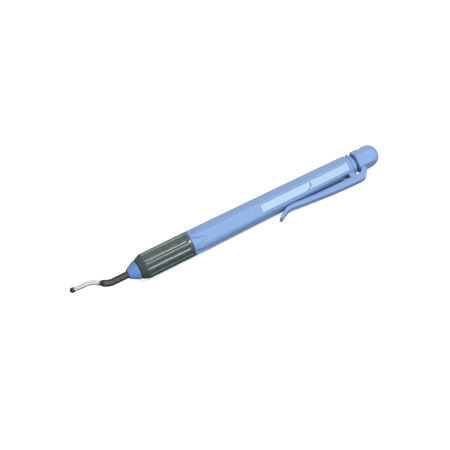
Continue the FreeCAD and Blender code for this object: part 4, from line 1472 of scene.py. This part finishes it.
@dataclass
class Blade(Piece):
    """Swivel blade: round shank, two bends, a ground flat and a ball at the tip."""

    shank: float = 1.6
    inside: float = 18.4
    straight: float = 6.9
    bend_radius: float = 7.7
    bend: float = math.radians(29.5)
    settle_angle: float = math.radians(2.2)
    rise: float = 7.65
    reach: float = 24.35
    cutting: float = 1.15
    ball: float = 1.27
    flat_depth: float = 0.35
    flat_front: float = 0.9
    flat_length: float = 12.0
    runout: float = 1.1
    slant: float = 1.5
    shank_land: float = 1.2
    waist: float = 1.5
    groove_place: float = 14.8
    groove: float = 0.3
    groove_ball: float = 0.5
    flat_front_run: float = 0.35
    round_columns: int = 30
    flat_columns: int = 11
    bright_columns: int = 10
    bright_inset: float = 0.2
    end_bevel: float = 0.15
    groove_margin: float = 0.05
    bend_pieces: int = 14
    tip_pieces: int = 22
    ball_pieces: int = 10

    def centreline(self) -> np.ndarray:
        """Middle line from inside the tool to the ball's centre, as (place, offset) rows."""
        radius, angle, settled = self.bend_radius, self.bend, self.settle_angle
        start = -self.straight
        first = np.linspace(0, angle, self.bend_pieces)
        bend_one = np.stack((start - radius * np.sin(first), radius * (1 - np.cos(first))), 1)
        second_start = start - self.rise
        gap = bend_one[-1, 0] - second_start
        risen = bend_one[-1, 1] + gap * math.tan(angle)
        second = np.linspace(angle, settled, self.bend_pieces)
        bend_two = np.stack((
            second_start - radius * (math.sin(angle) - np.sin(second)),
            risen + radius * (np.cos(second) - math.cos(angle))), 1)
        beyond = self.groove_ball + self.groove_margin
        places = np.concatenate((
            [self.inside, self.inside - self.end_bevel, self.groove_place + beyond],
            self.groove_place + self.groove_ball * np.cos(np.linspace(0, math.pi, 7)),
            [self.groove_place - beyond, 6.0, 1.0, 0.0, -1.0, -3.0, -5.0]))
        shaft = np.stack((places, np.zeros(len(places))), 1)
        between = np.linspace(bend_one[-1], bend_two[0], self.bend_pieces)[1:-1]
        tip_height = bend_two[-1, 1] + (bend_two[-1, 0] + self.reach) * math.tan(settled)
        tip = np.array([-self.reach, tip_height])
        final = np.linspace(bend_two[-1], tip, self.tip_pieces)[1:]
        return np.vstack((shaft, bend_one, between, bend_two, final))

    def radius_at(self, place: float) -> float:
        """Radius of the section at a place."""
        if abs(place - self.groove_place) < self.groove_ball:
            dip = math.sqrt(self.groove_ball**2 - (place - self.groove_place) ** 2)
            return self.shank - self.groove + self.groove_ball - dip
        if place > self.inside - self.end_bevel / 2:
            return self.shank - self.end_bevel
        bend_end = -self.straight - self.bend_radius * math.sin(self.bend)
        neck = bend_end - self.shank_land * math.cos(self.bend) + self.waist / 2
        share = min(1.0, max(0.0, (neck - place) / self.waist))
        eased = share * share * (3 - 2 * share)
        near_tip = place + self.reach
        ball = math.sqrt(max(self.ball**2 - near_tip**2, 0.0))
        return max(self.shank + (self.cutting - self.shank) * eased, ball)

    def depth_at(self, place: float, radius: float) -> float:
        """Distance from the middle line to the ground flat at a place."""
        front = -self.reach + self.flat_front
        back = front + self.flat_length
        if place > back or place < front - self.flat_front_run:
            return radius
        if place > back - self.runout:
            share = (back - place) / self.runout
            return radius + (self.flat_depth - radius) * share**0.8
        if place < front:
            share = (front - place) / self.flat_front_run
            return self.flat_depth + (radius - self.flat_depth) * share
        return self.flat_depth

    def ring(self, middle: np.ndarray, way: np.ndarray, radius: float, depth: float) -> np.ndarray:
        """One section of the blade, with its flat towards the viewer's side.

        Args:
            middle: (place, offset) of its middle.
            way: unit direction along the middle line.
            radius: the section's radius.
            depth: distance from the middle to the flat.

        Returns:
            The section's points in metres.
        """
        depth = min(depth, radius * NEARLY_ALL)
        half = math.acos(-depth / radius)
        turns = np.linspace(-half, half, self.round_columns)
        side = radius * np.cos(turns)
        out = radius * np.sin(turns)
        flat = np.linspace(out[-1], out[0], self.flat_columns + 2)[1:-1]
        side = np.concatenate((side, np.full(self.flat_columns, -depth)))
        out = np.concatenate((out, flat))
        square = np.array([-way[1], way[0]])
        if square[1] < 0:
            square = -square
        spots = middle + out[:, None] * square
        return self.axis.beside(spots[:, 0], -side, spots[:, 1], Turn.BLADE.value)

    def build(self) -> bpy.types.Object:
        """Make the blade."""
        line = self.centreline()
        ways = np.gradient(line, axis=0)
        ways /= np.linalg.norm(ways, axis=1)[:, None]
        rows = []
        for middle, way in zip(line, ways):
            radius = self.radius_at(middle[0])
            rows.append(self.ring(middle, way, radius, self.depth_at(middle[0], radius)))
        tip, way = line[-1], ways[-1]
        for angle in np.linspace(0, math.pi / 2, self.ball_pieces)[1:-1]:
            spot = tip + way * self.ball * math.sin(angle)
            rows.append(self.ring(spot, way, self.ball * math.cos(angle), self.ball))
        end_place, end_out = tip + way * self.ball
        end = self.axis.beside(end_place, 0.0, end_out, Turn.BLADE.value)
        start = self.axis.beside(self.inside, 0.0, 0.0, Turn.BLADE.value)
        width = self.round_columns + self.flat_columns
        rows = [np.broadcast_to(start, (width, 3)), *rows, np.broadcast_to(end, (width, 3))]
        marks = np.full((len(rows) - 1, width), BladeSlot.OXIDE.value)
        front = -self.reach + self.flat_front - self.bright_inset
        back = front + self.flat_length
        for i, place in enumerate(line[:, 0]):
            for j in range(self.bright_columns):
                if front < place < back - self.slant * j / self.bright_columns:
                    marks[i + 1, self.round_columns - 1 + j] = BladeSlot.GROUND.value
        shell = Shell("swivel_blade", sharp=30.0).add(np.stack(rows), False, marks)
        return shell.make(self.palette.oxide, self.palette.ground)

    def dress(self, made: bpy.types.Object) -> None:
        """Tie the blade to the CAD part."""
        self.settle(made, Body.BLADE, "black_steel", "blade")


@dataclass
class Works(Piece):
    """Inner pieces that keep their CAD shape and get a finish."""

    def dress(self, nodes: dict[str, bpy.types.Object]) -> None:
        """Give each inner node its finish.

        Args:
            nodes: the CAD nodes by name.
        """
        finishes = {
            self.palette.steel: (
                "core_tube", "thrust_pad", "bush_circlip", "ball_upper", "ball_lower", "lock_sleeve",
                "rod_nut", "push_rod", "spring_seat", "cap_pin"),
            self.palette.spring: ("return_spring",),
            self.palette.brass: ("blade_bush", "rod_collar"),
            self.palette.dark_plastic: ("rod_guide",),
            self.palette.barrel: ("cap_stem",),
        }
        for finish, names in finishes.items():
            for name in names:
                mesh = nodes[name].data
                mesh.materials.clear()
                mesh.materials.append(finish.make())
                LOG.info("%s: %s", name, finish.name)


# ---------------------------------------------------------------- studio


@dataclass(frozen=True)
class Softbox:
    """One square soft light: its place in metres, its side in metres and its power in watts."""

    name: str
    where: Colour
    side: float
    power: float


@dataclass
class Studio:
    """Camera, pale floor and soft lights."""

    low: Vector
    azimuth: float = math.radians(-18.21)
    elevation: float = math.radians(32.0)
    roll: float = math.radians(-16.35)
    aim: Colour = (-0.02276, 0.0, 0.00562)
    distance: float = 0.70
    lens: float = 128.74
    floor_reach: float = 3.0
    floor_gap: float = 0.00005
    sky: tuple[tuple[float, Colour], ...] = (
        (0.0, (0.10, 0.11, 0.15)), (0.5, (0.30, 0.31, 0.34)), (1.0, (0.60, 0.60, 0.60)))
    softboxes: tuple[Softbox, ...] = (
        Softbox("softbox_front", (0.45, -0.9, 1.15), 0.5, 13.0),
        Softbox("softbox_back", (0.5, 1.2, 0.85), 1.0, 3.5),
        Softbox("softbox_low", (-0.1, -1.2, 0.12), 0.35, 9.0),
    )

    def camera(self) -> None:
        """Set the camera."""
        a, e = self.azimuth, self.elevation
        back = Vector((math.sin(a) * math.cos(e), -math.cos(a) * math.cos(e), math.sin(e)))
        right = Vector((0, 0, 1)).cross(back).normalized()
        up = back.cross(right)
        level = Matrix((right, up, back)).transposed()
        tilted = level @ Matrix.Rotation(self.roll, 3, "Z")
        data = bpy.data.cameras.new("studio_camera")
        data.lens = self.lens
        data.sensor_width = 36.0
        data.clip_start, data.clip_end = 0.01, 20.0
        made = bpy.data.objects.new("studio_camera", data)
        made.matrix_world = Matrix.Translation(Vector(self.aim) + back * self.distance) @ tilted.to_4x4()
        bpy.context.scene.collection.objects.link(made)
        bpy.context.scene.camera = made

    def floor(self) -> None:
        """Lay the floor under the lowest point."""
        height, reach = self.low.z - self.floor_gap, self.floor_reach
        mesh = bpy.data.meshes.new("studio_floor")
        mesh.from_pydata(
            [(-reach, -reach, height), (reach, -reach, height), (reach, reach, height),
             (-reach, reach, height)], [], [(0, 1, 2, 3)])
        mesh.materials.append(PaleFloor("pale_floor", (0.9, 0.9, 0.9), glow=0.72).make())
        made = bpy.data.objects.new("studio_floor", mesh)
        made.visible_diffuse = False
        made.visible_glossy = False
        bpy.context.scene.collection.objects.link(made)
        made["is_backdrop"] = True

    def hang(self, softbox: Softbox) -> None:
        """Hang one softbox so that it looks at the tool.

        Args:
            softbox: the light.
        """
        data = bpy.data.lights.new(softbox.name, "AREA")
        data.shape = "SQUARE"
        data.size = softbox.side
        data.energy = softbox.power
        made = bpy.data.objects.new(softbox.name, data)
        made.location = softbox.where
        way = Vector(self.aim) - Vector(softbox.where)
        made.rotation_mode = "QUATERNION"
        made.rotation_quaternion = way.to_track_quat("-Z", "Y")
        bpy.context.scene.collection.objects.link(made)

    def light(self) -> None:
        """Light the scene."""
        world = bpy.data.worlds.new("studio_world")
        world.use_nodes = True
        world.node_tree.nodes.clear()
        graph = Graph(world.node_tree)
        way = graph.node("ShaderNodeTexCoord", None, None, "Generated")
        rise = Wire(graph, graph.node("ShaderNodeSeparateXYZ", None, {"Vector": way}, "X")
                    .socket.node.outputs["Z"])
        shade = graph.node(
            "ShaderNodeValToRGB", {"stops": self.sky}, {"Fac": rise * 0.5 + 0.5}, "Color")
        glow = graph.node("ShaderNodeBackground", None, {"Color": shade, "Strength": 1.0})
        graph.node("ShaderNodeOutputWorld", None, {"Surface": glow})
        bpy.context.scene.world = world
        bpy.context.scene.view_settings.view_transform = "Standard"
        for softbox in self.softboxes:
            self.hang(softbox)


# ---------------------------------------------------------------- main


def make_palette(axis: Axis) -> Palette:
    """Choose the finishes.

    Args:
        axis: the tool's axis.

    Returns:
        The finishes.
    """
    return Palette(
        barrel=MouldedPlastic("blue_moulded_plastic", (0.195, 0.312, 0.56)),
        # The nose is the barrel's blue painted darker and more saturated: painted shade on the
        # forward-facing cone.
        nose=MouldedPlastic("shaded_blue_nose_plastic", (0.125, 0.245, 0.56), roughness=0.3),
        label=LabelFilm(
            # The front field's colour holds painted reflection as well as the film's tone.
            "pale_blue_label_film", (0.38, 0.52, 0.68), (0.35, 0.48, 0.65), (0.06, 0.13, 0.36),
            line_place=axis.nose + 90.2, axis_height=axis.height, front=axis.nose + 64.65,
            back=axis.nose + 110.35),
        grip=Rubber(
            # The second colour is for the paler patches on the lands; the flutes never get it, which
            # leaves painted shade in them.
            "dark_grip_rubber", (0.036, 0.056, 0.053), (0.075, 0.105, 0.10), land_radius=5.75,
            axis_height=axis.height),
        dark_plastic=MouldedPlastic("dark_plastic", (0.03, 0.035, 0.04), roughness=0.45),
        oxide=BlackOxide("black_oxide_steel", (0.026, 0.034, 0.033), (0.075, 0.085, 0.080)),
        ground=GroundSteel("ground_blade_steel", (0.29, 0.31, 0.28)),
        steel=TurnedMetal("turned_steel", (0.55, 0.56, 0.57)),
        spring=TurnedMetal("spring_wire_steel", (0.42, 0.42, 0.43), roughness=0.3, pitch=3.0),
        brass=TurnedMetal("turned_brass", (0.72, 0.52, 0.24)),
    )


def main() -> None:
    """Build the whole scene."""
    logging.basicConfig(level=logging.INFO, format="%(message)s")
    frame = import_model()
    low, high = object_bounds()
    nose_low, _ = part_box("nose_cone")
    tube_low, tube_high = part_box("core_tube")
    axis = Axis(nose=nose_low.x / MM, height=(tube_low.z + tube_high.z) / 2 / MM)
    palette = make_palette(axis)

    studio = Studio(low)
    studio.camera()
    studio.floor()
    studio.light()

    barrel = Barrel(axis, palette)
    button = Button(axis, palette)
    for assembly in (
        Nose(axis, palette), Grip(axis, palette), barrel, Label(axis, palette, barrel),
        RearBush(axis, palette, barrel), button, Clip(axis, palette, barrel, button),
        Blade(axis, palette),
    ):
        assembly.dress(assembly.build())
    Works(axis, palette).dress(frame["nodes"])


if __name__ == "__main__":
    main()
